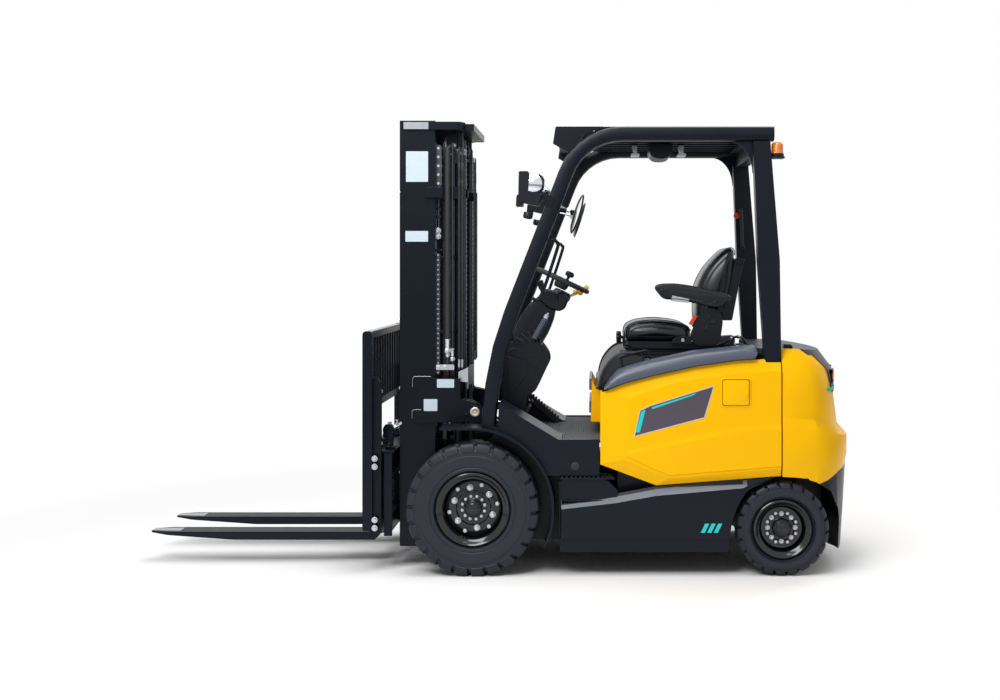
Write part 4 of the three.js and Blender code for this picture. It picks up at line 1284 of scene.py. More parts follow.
def column_boot():
    """Fanned pleats between the tilting column and the pedestal."""
    form = Form()
    pivot = (-316, 1060)
    for i in range(7):
        turn = math.radians(172 - i * 13)
        reach = 178 - i * 9
        tip = (pivot[0] - reach * math.cos(turn), pivot[1] + reach * math.sin(turn))
        n = (math.sin(turn) * 3, math.cos(turn) * 3)
        pair = [
            (pivot[0] - n[0], pivot[1] - n[1]), (pivot[0] + n[0], pivot[1] + n[1]),
            (tip[0] + n[0], tip[1] + n[1], 4), (tip[0] - n[0], tip[1] - n[1], 4),
        ]
        half = 92 - i * 3
        form.prism(pair, -half, half)
    form.prism([pivot, (-172, 1096), (-190, 1140), (-290, 1150)], -56, 56)
    return form


def column_strut():
    form = Form()
    start, end = Vector((-341, 70, 1246)), Vector((-281, 70, 1140))
    line = (end - start).normalized()
    form.rod(start, end, 17, 24)
    for i in range(8):
        form.rod(start + line * (12 + i * 12), start + line * (17 + i * 12), 19, 24)
    return form


def strut_end():
    return Form().rod((-349, 62, 1266), (-339, 62, 1246), 16, 20).rod((-351, 60, 1272), (-351, 72, 1272), 6, 14)


def side_lever():
    return Form().rod((-398, 64, 1346), (-400, 66, 1382), 9, 18)


def side_lever_cap():
    return Form().lathe(
        [(0, 0), (10, 0), (12, 3), (12, 17), (9, 20), (0, 21)], (-400, 66, 1380), (0.02, 0, 1), 24
    )


def pedestal():
    points = [
        (-132, 777), (-124, 860, 20), (-134, 1062, 14), (-142, 1100, 12), (-176, 1112, 10), (-306, 1106, 14),
        (-340, 1058, 16), (-346, 1024, 16), (-328, 990, 20), (-276, 878, 20), (-240, 856, 14), (-226, 846, 10),
        (-222, 700),
    ]
    flat = rounded(points, 5)
    narrow = offset_outline(flat[::-1], 16)[::-1]
    return Form().slices((narrow, -110), (flat, -88), (flat, 88), (narrow, 110))


def pedestal_panel():
    """The side panel, with its moulded shoulder and the groove below it."""
    form = Form()
    form.prism(
        [
            (-140, 1064, 8), (-238, 1030, 8), (-262, 1004, 8), (-286, 984, 8), (-296, 1002, 8), (-322, 1020, 8),
            (-310, 1046, 8), (-176, 1096, 10), (-150, 1086, 8),
        ],
        92, 112,
    )
    form.prism(
        [
            (-142, 1050, 8), (-232, 1018, 8), (-246, 996, 8), (-250, 960, 8), (-186, 880, 10), (-150, 840, 8),
            (-142, 840),
        ],
        94, 114,
    )
    form.prism(
        [(-262, 1000, 8), (-300, 996, 8), (-272, 900, 8), (-236, 870, 8), (-206, 870, 8), (-256, 940, 8)], 92,
        108,
    )
    return form


def brake_pedals():
    form = Form()
    for y0, y1 in ((-190, -125), (-262, -200), (60, 130)):
        form.prism([(-232, 735, 3), (-262, 790, 5), (-254, 796, 3), (-222, 741, 3)], y0, y1)
        for i in range(5):
            t = 0.12 + i * 0.18
            x, z = -232 - 30 * t, 735 + 55 * t
            form.prism([(x - 4, z - 2), (x - 8, z + 5), (x - 3, z + 9), (x + 1, z + 2)], y0 + 4, y1 - 4)
        form.tube([(-236, (y0 + y1) / 2, 760), (-190, (y0 + y1) / 2, 742), (-172, (y0 + y1) / 2, 742)], 7, 10)
    form.prism(rect(-228, -214, 724, 738), -262, -125)
    treadle = [
        (-402, 664), (-404, 682, 6), (-262, 806, 20), (-226, 850, 8), (-214, 846, 6), (-240, 786, 20),
        (-380, 664),
    ]
    form.prism(treadle, -254, -206)
    for i in range(10):
        x, z = -396 + 15 * i, 690 + 13.1 * i
        form.prism([(x - 5, z - 4), (x - 6, z + 6, 2), (x + 1, z + 11, 2), (x + 6, z + 4)], -252, -208)
    return form


def display():
    """The instrument pod on the column's right side."""
    form = Form().prism([(-330, 1406, 6), (-300, 1396, 8), (-286, 1440, 10), (-316, 1452, 6)], -150, -40)
    return form.prism([(-322, 1380, 4), (-306, 1380, 4), (-300, 1410, 4), (-316, 1410, 4)], -104, -84)


def display_glass():
    return Form().prism([(-332, 1412, 3), (-329, 1410, 3), (-315, 1446, 3), (-318, 1448, 3)], -142, -48)


def toe_ribs():
    form = Form()
    for i in range(9):
        t = 0.08 + i * 0.1
        x, z = -255 + 120 * t, 664 + 110 * t
        form.prism([(x, z - 2), (x - 3, z + 4), (x + 1, z + 7), (x + 5, z + 2)], -255, -118)
        form.prism([(x, z - 2), (x - 3, z + 4), (x + 1, z + 7), (x + 5, z + 2)], 118, 255)
    return form


class FORKLIFT_OT_controls(bpy.types.Operator):
    """Builds the steering wheel, column, pedestal, levers, display and pedals"""

    bl_idname = "forklift.controls"
    bl_label = "Controls"

    def execute(self, context):
        make_each(
            "steering_hand_wheel",
            (hand_wheel(), "hand_wheel", "rubber", 0, 2, ["steering_wheel"]),
            (spinner_knob(), "spinner_knob", "abs_black"),
        )
        make_each(
            "chassis",
            (column_head(), "column_head", "abs_black", 4.0, 3, ["steering_column"]),
            (column_arm(), "column_arm", "abs_black", 3.0, 3),
            (column_boot(), "column_boot", "rubber", 1.5),
        )
        make(column_strut(), "column_strut", "abs_grey", "chassis", 0.6, slot="black_plastic")
        make_each(
            "chassis",
            (strut_end(), "column_strut_end", "zinc", 0.6),
            (side_lever(), "direction_lever", "abs_black"),
            (side_lever_cap(), "direction_lever_cap", "abs_grey"),
            (pedestal(), "pedestal", "abs_black", 4.0, 3),
        )
        both_sides(pedestal_panel, "pedestal_panel", "abs_black", "chassis", 2.5)
        make_each(
            "chassis",
            (lever_rods(), "hydraulic_levers", "zinc"),
            (lever_balls(), "hydraulic_lever_knobs", "abs_yellow"),
            (brake_pedals(), "foot_pedals", "rubber", 0.8, 2, ["pedals"]),
            (display(), "display_pod", "abs_black", 3.0, 3),
        )
        make(display_glass(), "display_pane", "badge", "chassis", 1.0, slot="black_plastic")
        make(toe_ribs(), "toe_board_ribs", "mat", "chassis")
        return {"FINISHED"}


# ----- hood and seat


HOOD_LINE = (
    (-646, 911, 926), (-672, 921, 964), (-712, 937, 1011), (-760, 953, 1029), (-881, 985, 1063),
    (-1088, 1031, 1106), (-1290, 1061, 1127), (-1376, 1066, 1133), (-1392, 1072, 1128), (-1400, 1086, 1112),
)


def hood_trim():
    """The moulded rail along the hood's side: a broad face that leans up to a rolled edge."""
    rings = []
    for x, low, high in HOOD_LINE:
        h = high - low
        section = [
            (543, low), (545, low + 4), (544, low + h * 0.3), (540, low + h * 0.55), (528, low + h * 0.76),
            (508, low + h * 0.92), (480, high), (470, high - 4), (470, low + 4),
        ]
        rings.append([(x, y, z) for y, z in section])
    return Form().skin(rings)


def hood_trim_lip():
    """The dark seal under the rail."""
    rings = []
    for x, low in (point[:2] for point in HOOD_LINE[1:-1]):
        rings.append([(x, y, z) for y, z in ((544, low - 5), (544, low + 1), (500, low + 1), (500, low - 5))])
    return Form().skin(rings)


def hood_deck():
    return Form().prism(
        [
            (-604, 912), (-640, 955), (-760, 1010), (-1400, 1050), (-1400, 1036), (-760, 996), (-650, 942),
            (-616, 912),
        ],
        -475, 475,
    )


def front_cover():
    """The pleated cover over the hood's front edge."""
    profile = smooth_path(
        [
            (-622, 905), (-630, 955), (-648, 1002), (-684, 1050), (-730, 1080), (-800, 1088), (-842, 1072),
            (-846, 1040),
        ],
        4,
    )
    middle = Vector((-760, 960))
    rings = []
    for i in range(81):
        y = -452 + i * 11.3
        lift = 3.2 * math.sin(i * math.pi / 2.6) - (10 if i in (0, 80) else 0)
        line = []
        for p in profile:
            spot = Vector(p[:2])
            out = (spot - middle).normalized()
            spot = spot + out * lift
            line.append((spot.x, y, spot.y))
        rings.append(line + [(-800, y, 1020), (-660, y, 950), (-632, y, 905)])
    return Form().skin(rings)


def cover_piping():
    form = Form()
    for y in (462, 436):
        line = smooth_path(
            [
                (-620, y, 912), (-628, y, 956), (-646, y, 1005), (-684, y, 1056), (-731, y, 1086),
                (-800, y, 1092),
            ],
            4,
        )
        form.tube(line, 6, 10)
    return form.mirror_y()


def hood_handle():
    path = [
        (-740, 448, 1016), (-733, 448, 1058), (-744, 448, 1072), (-842, 448, 1099), (-864, 448, 1096),
        (-880, 448, 1056),
    ]
    return Form().bend(path, 5, 7, 12).mirror_y()


def seat_bellows():
    """Folded cover between the seat pan and the hood."""
    rings = []
    for i in range(11):
        t = i / 10
        out = 7 if i % 2 else 0
        x0, x1 = -762 + 22 * t * t + out, -1160 - 30 * t - out
        half = 178 + 40 * t + out
        ring = rounded(rect(x0, x1, -half, half, 40), 4)
        z = 1124 - 78 * t
        rings.append([(x, y, z) for x, y in ring])
    return Form().skin(rings)


def closed_curve(points, steps=5):
    """A smooth closed curve through points."""
    ring = list(points[-2:]) + list(points) + list(points[:2])
    path = smooth_path([(x, z, 0) for x, z in ring], steps)
    start, end = 2 * steps, (2 + len(points)) * steps
    return [Vector((p.x, p.y)) for p in path[start:end]]


def pad(outline, half, fillet, swell, facing, crown, grooves, channels, depth):
    """A padded form: rounded edges, sides that pull in, a crowned face, seams along and across it."""
    curve = closed_curve(outline)
    count = len(curve)
    middle = sum(curve, Vector((0, 0))) / count
    normals = []
    for i in range(count):
        along = (curve[(i + 1) % count] - curve[i - 1]).normalized()
        normal = Vector((along.y, -along.x))
        normals.append(normal if normal.dot(curve[i] - middle) > 0 else -normal)
    lengths = [0.0]
    for a, b in zip(curve, curve[1:]):
        lengths.append(lengths[-1] + (b - a).length)
    face = Vector(facing).normalized()
    slices = 64
    rings = []
    for i in range(slices + 1):
        t = math.sin(math.pi / 2 * (2 * i / slices - 1))
        y = half * t
        near_edge = max(0.0, abs(y) - (half - fillet)) / fillet
        inset = fillet * 0.72 * (1 - math.sqrt(max(0.0, 1 - near_edge**2)))
        ring = []
        for point, normal, length in zip(curve, normals, lengths):
            show = max(0.0, normal.dot(face)) ** 0.6
            move = -inset + crown * (1 - t * t) * show + swell * (1 - near_edge)
            for groove in grooves:
                move -= depth * math.exp(-(((abs(y) - groove) / 5) ** 2)) * show
            if abs(y) < (grooves[0] if grooves else half - fillet):
                for channel in channels:
                    move -= depth * math.exp(-(((length - channel) / 5) ** 2)) * show
            spot = point + normal * move
            ring.append((spot.x, y, spot.y))
        rings.append(ring)
    return Form().skin(domed_end(rings[0], -1, fillet)[::-1] + rings + domed_end(rings[-1], 1, fillet))


def domed_end(ring, side, fillet):
    """Rings that close a pad's end with a low dome."""
    x, z = (sum(p[i] for p in ring) / len(ring) for i in (0, 2))
    rings = []
    for share in (0.97, 0.9, 0.78, 0.6, 0.4, 0.18, 0.03):
        y = ring[0][1] + side * fillet * 0.3 * (1 - share**2)
        rings.append([(x + (p[0] - x) * share, y, z + (p[2] - z) * share) for p in ring])
    return rings


def seam_line(outline, y, radius, keep, lift=0.0):
    """Piping along an outline at one distance across; keep says which part of the outline has it."""
    curve = closed_curve(outline)
    middle = sum(curve, Vector((0, 0))) / len(curve)
    line = [p + (p - middle).normalized() * lift for p in curve]
    start, end = int(len(line) * keep[0]), int(len(line) * keep[1])
    part = [line[i % len(line)] for i in range(start, end)]
    return Form().tube([(p.x, y, p.y) for p in part], radius, 8)


CUSHION = [
    (-1094, 1136), (-1092, 1196), (-1044, 1226), (-960, 1239), (-880, 1240), (-806, 1229), (-764, 1202),
    (-758, 1150), (-790, 1130), (-900, 1128), (-1000, 1128),
]
BACKREST = [
    (-1140, 1222), (-1134, 1320), (-1140, 1410), (-1180, 1500), (-1236, 1570), (-1290, 1614), (-1326, 1604),
    (-1322, 1520), (-1304, 1400), (-1268, 1290), (-1226, 1220), (-1180, 1214),
]
ARMREST = [
    (-908, 1412), (-930, 1430), (-1015, 1433), (-1125, 1417), (-1210, 1396), (-1288, 1374), (-1282, 1342),
    (-1232, 1312), (-1160, 1322), (-1090, 1338), (-1020, 1350), (-956, 1356), (-925, 1384),
]


def recliner_cover():
    points = [
        (-1177, 1299, 16), (-1213, 1299, 20), (-1247, 1271, 20), (-1252, 1237, 20), (-1239, 1148, 20),
        (-1219, 1122, 16), (-1129, 1122, 16), (-1102, 1148, 16), (-1102, 1181, 14), (-1129, 1237, 14),
        (-1163, 1293, 14),
    ]
    form = Form()
    flat = rounded(points, 5)
    inner = offset_outline(flat[::-1], 9)[::-1]
    form.slices((flat, 214), (flat, 240), (inner, 250))
    form.lathe([(0, 0), (23, 0), (23, 3), (20, 4), (17, 3), (0, 3)], (-1205, 249, 1249), ACROSS, 32)
    form.prism([(-1160, 1196, 3), (-1178, 1220, 3), (-1196, 1207, 3), (-1178, 1183, 3)], 248, 252)
    return form


def slide_lever():
    points = [(-991, 1124, 6), (-1008, 1150, 14), (-1040, 1163, 16), (-1100, 1160, 6), (-1100, 1122, 6)]
    return Form().prism(points, 206, 232)


def recliner_lever():
    return Form().prism([(-1046, 1134, 4), (-1064, 1134, 4), (-1058, 1152, 4), (-1048, 1150, 4)], 230, 238)


def buckle():
    return Form().prism(
        [(-1084, 1226, 5), (-1100, 1218, 5), (-1128, 1262, 6), (-1122, 1272, 4), (-1112, 1272, 5)], 216, 242
    )


def buckle_stem():
    form = Form().prism([(-1100, 1214, 3), (-1112, 1206, 3), (-1150, 1262, 3), (-1134, 1270, 3)], 220, 236)
    return form.prism([(-1106, 1212, 3), (-1122, 1160, 3), (-1140, 1164, 3), (-1126, 1220, 3)], 224, 230)


def seat_belt():
    """Webbing that runs from its reel up over the seat's left side and back."""
    path = [(-1255, 1240), (-1240, 1252), (-1215, 1262), (-1190, 1266), (-1172, 1256), (-1160, 1236)]
    return Form().skin([[(x, -226, z), (x, -180, z + 4), (x, -180, z + 6), (x, -226, z + 2)] for x, z in path])


def belt_reel():
    return Form().prism(
        [(-1240, 1190, 12), (-1290, 1196, 12), (-1294, 1250, 12), (-1244, 1252, 12)], -236, -192
    )


def tension_knob():
    form = Form()
    for i in range(6):
        turn = math.pi / 3 * i
        form.lathe(
            [(0, 0), (13, 0), (14, 3), (14, 20), (12, 24), (0, 25)],
            (-714, 60 + 20 * math.cos(turn), 1149 + 20 * math.sin(turn)), ASTERN, 16,
        )
    form.lathe([(0, 0), (22, 0), (22, 26), (0, 28)], (-713, 60, 1149), ASTERN, 24)
    form.rod((-736, 60, 1149), (-766, 60, 1149), 8, 14)
    return form


def seat_pan():
    """Moulded pan, slides and the front stay under the cushion."""
    form = Form()
    form.prism(
        [(-772, 1108, 6), (-772, 1132, 6), (-1120, 1132, 6), (-1230, 1120, 6), (-1230, 1096, 6), (-1110, 1096)],
        -196, 196,
    )
    form.prism([(-752, 1090, 3), (-744, 1140, 3), (-760, 1146, 3), (-770, 1090, 3)], -30, 90)
    for y in (-206, 200):
        form.prism(rect(-790, -1150, 1096, 1112, 2), y, y + 6)
    return form


def seat_shell():
    """The backrest's moulded rear shell with its raised rim."""
    form = Form()
    shell = [
        (-1332, 1562, 8), (-1379, 1556, 10), (-1318, 1240, 8), (-1268, 1240, 8), (-1262, 1290, 8), (-1300, 1410)
    ]
    form.prism(shell, -150, 150)
    form.prism([(-1336, 1566, 4), (-1383, 1560, 4), (-1376, 1530, 4), (-1330, 1536, 4)], -154, 154)
    form.prism([(-1262, 1290), (-1222, 1240, 8), (-1190, 1236, 8), (-1190, 1262), (-1260, 1330)], -210, 212)
    return form


def deck_cables():
    """Two sleeved wires clipped to the hood behind the seat."""
    form = Form()
    form.bend(
        [
            (-1236, 190, 1108), (-1262, 230, 1124), (-1300, 262, 1152), (-1340, 250, 1160), (-1372, 210, 1140),
            (-1388, 150, 1096), (-1392, 120, 1056),
        ],
        7, 7, 10,
    )
    form.bend(
        [
            (-1236, 140, 1108), (-1270, 200, 1112), (-1320, 240, 1120), (-1366, 260, 1118), (-1390, 300, 1090),
            (-1394, 320, 1056),
        ],
        7, 6, 10,
    )
    return form


def cable_clips():
    form = Form()
    for x, y, z in ((-1300, 262, 1152), (-1340, 250, 1160), (-1320, 240, 1120)):
        form.lathe(rect(5, 10, -5, 5), (x, y, z), (0.9, 0.3, 0), 14, looped=True)
    form.prism([(-1290, 1052, 2), (-1390, 1056, 2), (-1390, 1096, 6), (-1300, 1090, 6)], 196, 236)
    return form


def seat_pad(form, name, stands_for):
    piece = make(form, name, "vinyl", "battery_hood", stands_for=[stands_for])
    return piece


class FORKLIFT_OT_seat(bpy.types.Operator):
    """Sews the cushion, backrest and armrest and fits the seat's mouldings and the hood's trim"""

    bl_idname = "forklift.seat"
    bl_label = "Hood and seat"

    def execute(self, context):
        settings = context.scene.forklift_seat
        crown, depth = settings.crown * 1000, settings.channel_depth * 1000
        cushion = pad(CUSHION, 194, 46, 0, (0.15, 1), crown * 0.2, (118,), (128, 178, 228, 278), depth)
        seat_pad(cushion, "cushion_pad", "seat_cushion")
        back = pad(BACKREST, 192, 52, 0, (1, 0.35), crown * 0.35, (118,), (120, 180, 240, 300), depth)
        seat_pad(back, "backrest_pad", "seat_backrest")
        rest = pad(ARMREST, 22, 12, 0, (0, 1), 2.0, (), (), depth)
        rest.moved(Matrix.Translation((0, 275, 0)))
        seat_pad(rest, "armrest_pad", "armrest")
        rim = [(-1010 + (x + 1100) * 0.78 - 75, 1372 + (z - 1376) * 0.62) for x, z in ARMREST]
        make(seam_line(rim, 301, 1.8, (0, 1)), "armrest_piping", "vinyl", "battery_hood")
        piping = Form()
        for outline, half, keep in ((CUSHION, 168, (0.08, 0.72)), (BACKREST, 164, (0.02, 0.56))):
            for y in (-half, half):
                merge_forms(piping, seam_line(outline, y, 2.4, keep, 3))
        make(piping, "seat_piping", "vinyl", "battery_hood")
        make_each(
            "battery_hood",
            (hood_deck(), "hood_deck", "abs_black", 2.0, 2, ["hood"]),
            (front_cover(), "hood_front_cover", "cover_cloth"),
            (cover_piping(), "hood_cover_piping", "rubber"),
            (hood_handle(), "hood_handles", "powder"),
            (seat_bellows(), "seat_bellows", "cover_cloth"),
            (recliner_cover(), "recliner_cover", "abs_black", 2.0),
            (slide_lever(), "slide_lever", "abs_black", 3.0),
            (recliner_lever(), "slide_latch", "zinc", 0.6),
            (buckle(), "belt_buckle", "abs_red", 2.0),
            (buckle_stem(), "belt_buckle_stem", "abs_black", 1.0),
            (seat_belt(), "seat_belt_webbing", "belt"),
            (belt_reel(), "seat_belt_reel", "abs_black", 2.0),
            (tension_knob(), "seat_tension_knob", "abs_black", 0.8),
            (seat_pan(), "seat_pan", "abs_black", 2.0, 2, ["seat_base"]),
            (seat_shell(), "seat_shell", "abs_black", 4.0),
            (deck_cables(), "deck_wire_sleeves", "hose"),
            (cable_clips(), "wire_clips", "zinc", 0.5),
        )
        both_sides(hood_trim, "hood_trim", "abs_grey", "battery_hood", 1.5)
        both_sides(hood_trim_lip, "hood_trim_seal", "rubber", "battery_hood")
        lever = Form().prism([(-990, 1346, 4), (-1078, 1336, 4), (-1084, 1356, 4), (-996, 1374, 4)], 262, 300)
        make(lever, "armrest_lever", "anodised", "battery_hood", 1.5)
        return {"FINISHED"}


# ----- mast

LIFT_ROD_X, LIFT_ROD_Y = 98, 235
CHAIN_WIDTH = 25
SMALL_HOSES = ((88, 340), (72, 338))  # the side-shift hoses' places (x, y)
CHAIN_FOOT_Z = 612  # where the lift chains meet the carriage

def link_outline(pitch):
    """One leaf chain plate, seen from the side: two round ends and a waist."""
    end = pitch * 0.4
    top = arc((0, pitch / 2), end, -30, 210, 8)
    foot = arc((0, -pitch / 2), end, 150, 390, 8)
    return top + foot


def leaf_chain(form, spots, y, width, pitch):
    """Links between neighbouring spots (x, z), in overlapping layers; the pins at the spots are drawn apart."""
    layer = width / 7
    for i, (a, b) in enumerate(zip(spots, spots[1:])):
        middle = ((a[0] + b[0]) / 2, (a[1] + b[1]) / 2)
        lean = math.atan2(b[0] - a[0], b[1] - a[1])
        c, s = math.cos(lean), math.sin(lean)
        shape = [(middle[0] + u * c + v * s, middle[1] - u * s + v * c) for u, v in link_outline(pitch)]
        for slot in range(7):
            if slot % 2 == i % 2:
                low = y - width / 2 + slot * layer
                form.prism(shape, low + 0.2, low + layer - 0.2)
    return form


def chain_pins(form, spots, y, width, pitch):
    slim, full, half = pitch * 0.15, pitch * 0.17, width / 2
    profile = [(0, -half - 2), (slim, -half - 2), (full, -half), (full, half), (slim, half + 2), (0, half + 2)]
    for x, z in spots:
        form.lathe(profile, (x, y, z), ACROSS, 12)
    return form


def chain_run(x, top, bottom, pitch):
    count = int((top - bottom) / pitch)
    return [(x, top - i * pitch) for i in range(count + 1)]


def lift_chain(pitch):
    """The rear run from the anchor height, and the turn over the sheave."""
    form = Form()
    turn = math.degrees(pitch / SHEAVE_R)
    over = [on_circle((SHEAVE_X, SHEAVE_Z), SHEAVE_R, 180 - i * turn) for i in range(int(180 / turn) + 1)]
    run = chain_run(SHEAVE_X - SHEAVE_R, SHEAVE_Z, 490, pitch)[::-1][:-1]
    return leaf_chain(form, run + over, SHEAVE_Y, CHAIN_WIDTH, pitch).mirror_y()


def sheaves():
    half = [(0, 13), (14, 13), (16, 9), (36, 9), (40, 15), (50, 15), (50, 13), (43, 12.6)]
    profile = [(r, -y) for r, y in half] + half[::-1]
    form = Form().lathe(profile, (SHEAVE_X, SHEAVE_Y, SHEAVE_Z), ACROSS, 48)
    form.lathe([(0, 0), (12, 0), (12, 46), (10, 48), (0, 48)], (SHEAVE_X, 150, SHEAVE_Z), ACROSS, 20)
    return form.mirror_y()


def label_plate(x0, x1, z0, z1, y):
    return Form().prism(rect(x0, x1, z0, z1, 4), y, y + 1)


def tilt_ear():
    """The tilt bracket's outer plate, with the C-shaped opening where it laps the rail."""
    points = [
        (323, 906, 6), (323, 947, 14), (305, 965, 10), (224, 965, 4), (220, 956, 4), (82, 953, 4),
        (82, 850, 20), (50, 845), (-4, 828, 24),
    ]
    points += [
        (-34, 800, 24), (-34, 752, 24), (82, 735), (300, 728, 22), (325, 748, 22), (325, 788, 10),
        (308, 797, 8), (276, 797, 14), (270, 820), (270, 882, 16), (286, 906, 6),
    ]
    return Form().prism(points, 354.4, 357)


def ear_painted_highlights():
    """Pale bare-steel strips along the ear's edges: painted highlights where the edges catch the light."""
    form = Form()
    form.bend([(323, 357, 912), (323, 357, 946), (318, 357, 960), (304, 357, 965), (230, 357, 965)], 4, 1.8, 8)
    form.bend([(325, 357, 752), (325, 357, 786), (316, 357, 796), (280, 357, 797)], 4, 1.8, 8)
    return form.mirror_y()


def hose_bracket():
    """The galvanised plate behind the ear that the hoses are clamped to."""
    form = Form().prism([(96, 936), (96, 984), (46, 1008, 3), (46, 931, 3)], 304, 312)
    return form.prism([(96, 936), (96, 946), (46, 941), (46, 931)], 280, 304)


def tilt_pin():
    form = Form().lathe([(0, -2), (33, -2), (33, 1), (31, 2.5), (0, 2.5)], TILT_PIN, ACROSS, 36)
    return form.screws([(48, 357, 770)], ACROSS, 13, 4.5, 1)


def tilt_pin_end():
    return Form().lathe(
        [(0, 1), (25, 1), (25, 3.5), (22, 5), (13, 5), (11, 3.8), (0, 3.8)], TILT_PIN, ACROSS, 36
    )


def grease_cap():
    return Form().lathe([(0, 3), (9, 3), (9, 5), (7, 5.6), (3, 6), (0, 6)], TILT_PIN, ACROSS, 20)


def mast_brackets():
    """Clamps and lugs welded to the outer rail."""
    form = Form()
    form.prism(rect(170, 262, 1871, 1924, 5), 332, 352)
    form.prism(rect(172, 206, 1870, 1924), 262, 340)
    form.prism(rect(184, 222, 1658, 1722, 6), 286, 300)
    form.prism(rect(184, 212, 1600, 1612, 6), 262, 300)
    for z in (330, 1180, 1560):
        form.prism(rect(112, 212, z, z + 16, 4), 272, 292)
    return form.mirror_y()


def mast_bolts():
    form = Form()
    form.screws([(201, 300, 1704), (201, 300, 1677)], ACROSS, 19, 10, 3)
    form.screws([(190, 340, 1884), (190, 340, 1910)], ACROSS, 15, 8, 2)
    for z in (470, 900, 1250, 1900):
        form.screws([(391, 300, z)], AHEAD, 17, 6, 2)
    return form.mirror_y()


def mast_hoses(diameter):
    """Main lift hose, looped over at the top, and two smaller side-shift hoses."""
    big = diameter * 0.66
    form = Form()
    top = [
        (146, 345, 1150), (146, 345, 1500), (146, 345, 2070), (145, 338, 2112), (138, 318, 2130),
        (126, 298, 2122), (116, 286, 2094), (112, 282, 2050),
    ]
    form.bend(top, 8, big, 14)
    for x, y in SMALL_HOSES:
        form.bend(
            [(x, y, 1000), (x, y, 1400), (x, y, 2070), (x, y - 5, 2100), (x, y - 20, 2122), (x, y - 44, 2112)],
            7, diameter * 0.28, 12,
        )
    return form.mirror_y()


def mast_pipes():
    form = Form()
    form.bend(
        [(121, 345, 1098), (121, 345, 1400), (121, 345, 2090), (120, 338, 2118), (116, 322, 2130)], 6, 5, 12
    )
    form.bend([(146, 345, 1062), (146, 345, 1000), (146, 330, 966), (146, 316, 938)], 5, 8, 12)
    form.bend([(121, 345, 1040), (121, 345, 1000), (121, 330, 966), (121, 316, 938)], 5, 6, 12)
    form.rod((62, 330, 1010), (62, 330, 1935), 3, 10)
    for x, y in SMALL_HOSES:
        form.lathe([(0, 0), (6.4, 0), (7, 2), (7, 56), (6, 58), (0, 58)], (x, y, 1990), UP, 18)
        form.lathe([(0, 0), (6.4, 0), (7, 2), (7, 40), (6, 42), (0, 42)], (x, y, 1916), UP, 18)
    return form.mirror_y()


def hose_fittings():
    form = Form()
    form.lathe([(0, 0), (13, 0), (15, 3), (15, 40), (17, 44), (17, 48), (0, 48)], (146, 345, 1106), UP, 24)
    form.nut((146, 345, 1084), UP, 30, 22)
    form.lathe([(0, 0), (10, 0), (12, 3), (12, 20), (10, 22), (0, 22)], (146, 345, 1062), UP, 20)
    form.lathe([(0, 0), (9, 0), (10, 2), (10, 40), (0, 42)], (121, 345, 1066), UP, 20)
    form.nut((121, 345, 1042), UP, 22, 20)
    for x, y in SMALL_HOSES:
        form.lathe(rect(0, 7, 0, 40), (x, y, 1010), UP, 18)
    form.prism(rect(112, 204, 998, 1024, 3), 334, 356)
    form.screws([(192, 356, 1011), (160, 356, 1011)], ACROSS, 10, 5, 1.5)
    form.prism([(110, 875), (110, 940, 4), (82, 988, 4), (60, 988, 4), (60, 883, 4)], 146, 151)
    return form.mirror_y()


def outer_chain_pins():
    form = chain_pins(Form(), chain_run(199, 2126, 1945, 45), 292, 20, 45)
    return chain_pins(form, chain_run(201, 1580, 960, 25), 292, 14, 28).mirror_y()


def outer_chain():
    """The short chain that ties the hose guide to the outer rail."""
    form = leaf_chain(Form(), chain_run(199, 2126, 1945, 45), 292, 20, 45)
    leaf_chain(form, chain_run(201, 1580, 960, 25), 292, 14, 25)
    form.rod((199, 292, 1920), (199, 292, 1945), 9, 14)
    form.rod((199, 292, 1722), (199, 292, 1870), 7, 14)
    form.nut((199, 292, 1812), UP, 22, 14)
    form.nut((199, 292, 1770), UP, 22, 14)
    return form.mirror_y()


def crown_wings():
    """The crown's ends, which lap the outside of the rails."""
    points = [(60, 300), (206, 255), (206, 338), (372, 338), (372, 346, 4), (206, 346), (84, 346, 10)]
    return Form().prism(points, 2216, 2257, "Z").mirror_y()


def crown_painted_highlights():
    """Pale bare-steel sheets on the wings' outer faces: a painted highlight."""
    return Form().prism(rect(244, 370, 2219, 2254, 2), 346.1, 347).mirror_y()


def crown_bolts():
    spots = [(60, 220, 2250), (60, 270, 2250), (150, 220, 2250), (300, 205, 2250)]
    return Form().screws(spots, UP, 19, 9, 3).mirror_y()


def lift_rod_sleeves():
    """The chromed part of the lift rods, out of sight until the mast rises."""
    return Form().lathe(
        [(18.2, 320), (18.8, 322), (18.8, 2108), (18.2, 2110)], (LIFT_ROD_X, LIFT_ROD_Y, 0), UP, 32
    ).mirror_y()


def gland_rings():
    profile = [(20, 0), (33, 0), (34, 3), (34, 26), (31, 30), (20, 30)]
    return Form().lathe(profile, (LIFT_ROD_X, LIFT_ROD_Y, 2096), UP, 36, looped=True).mirror_y()


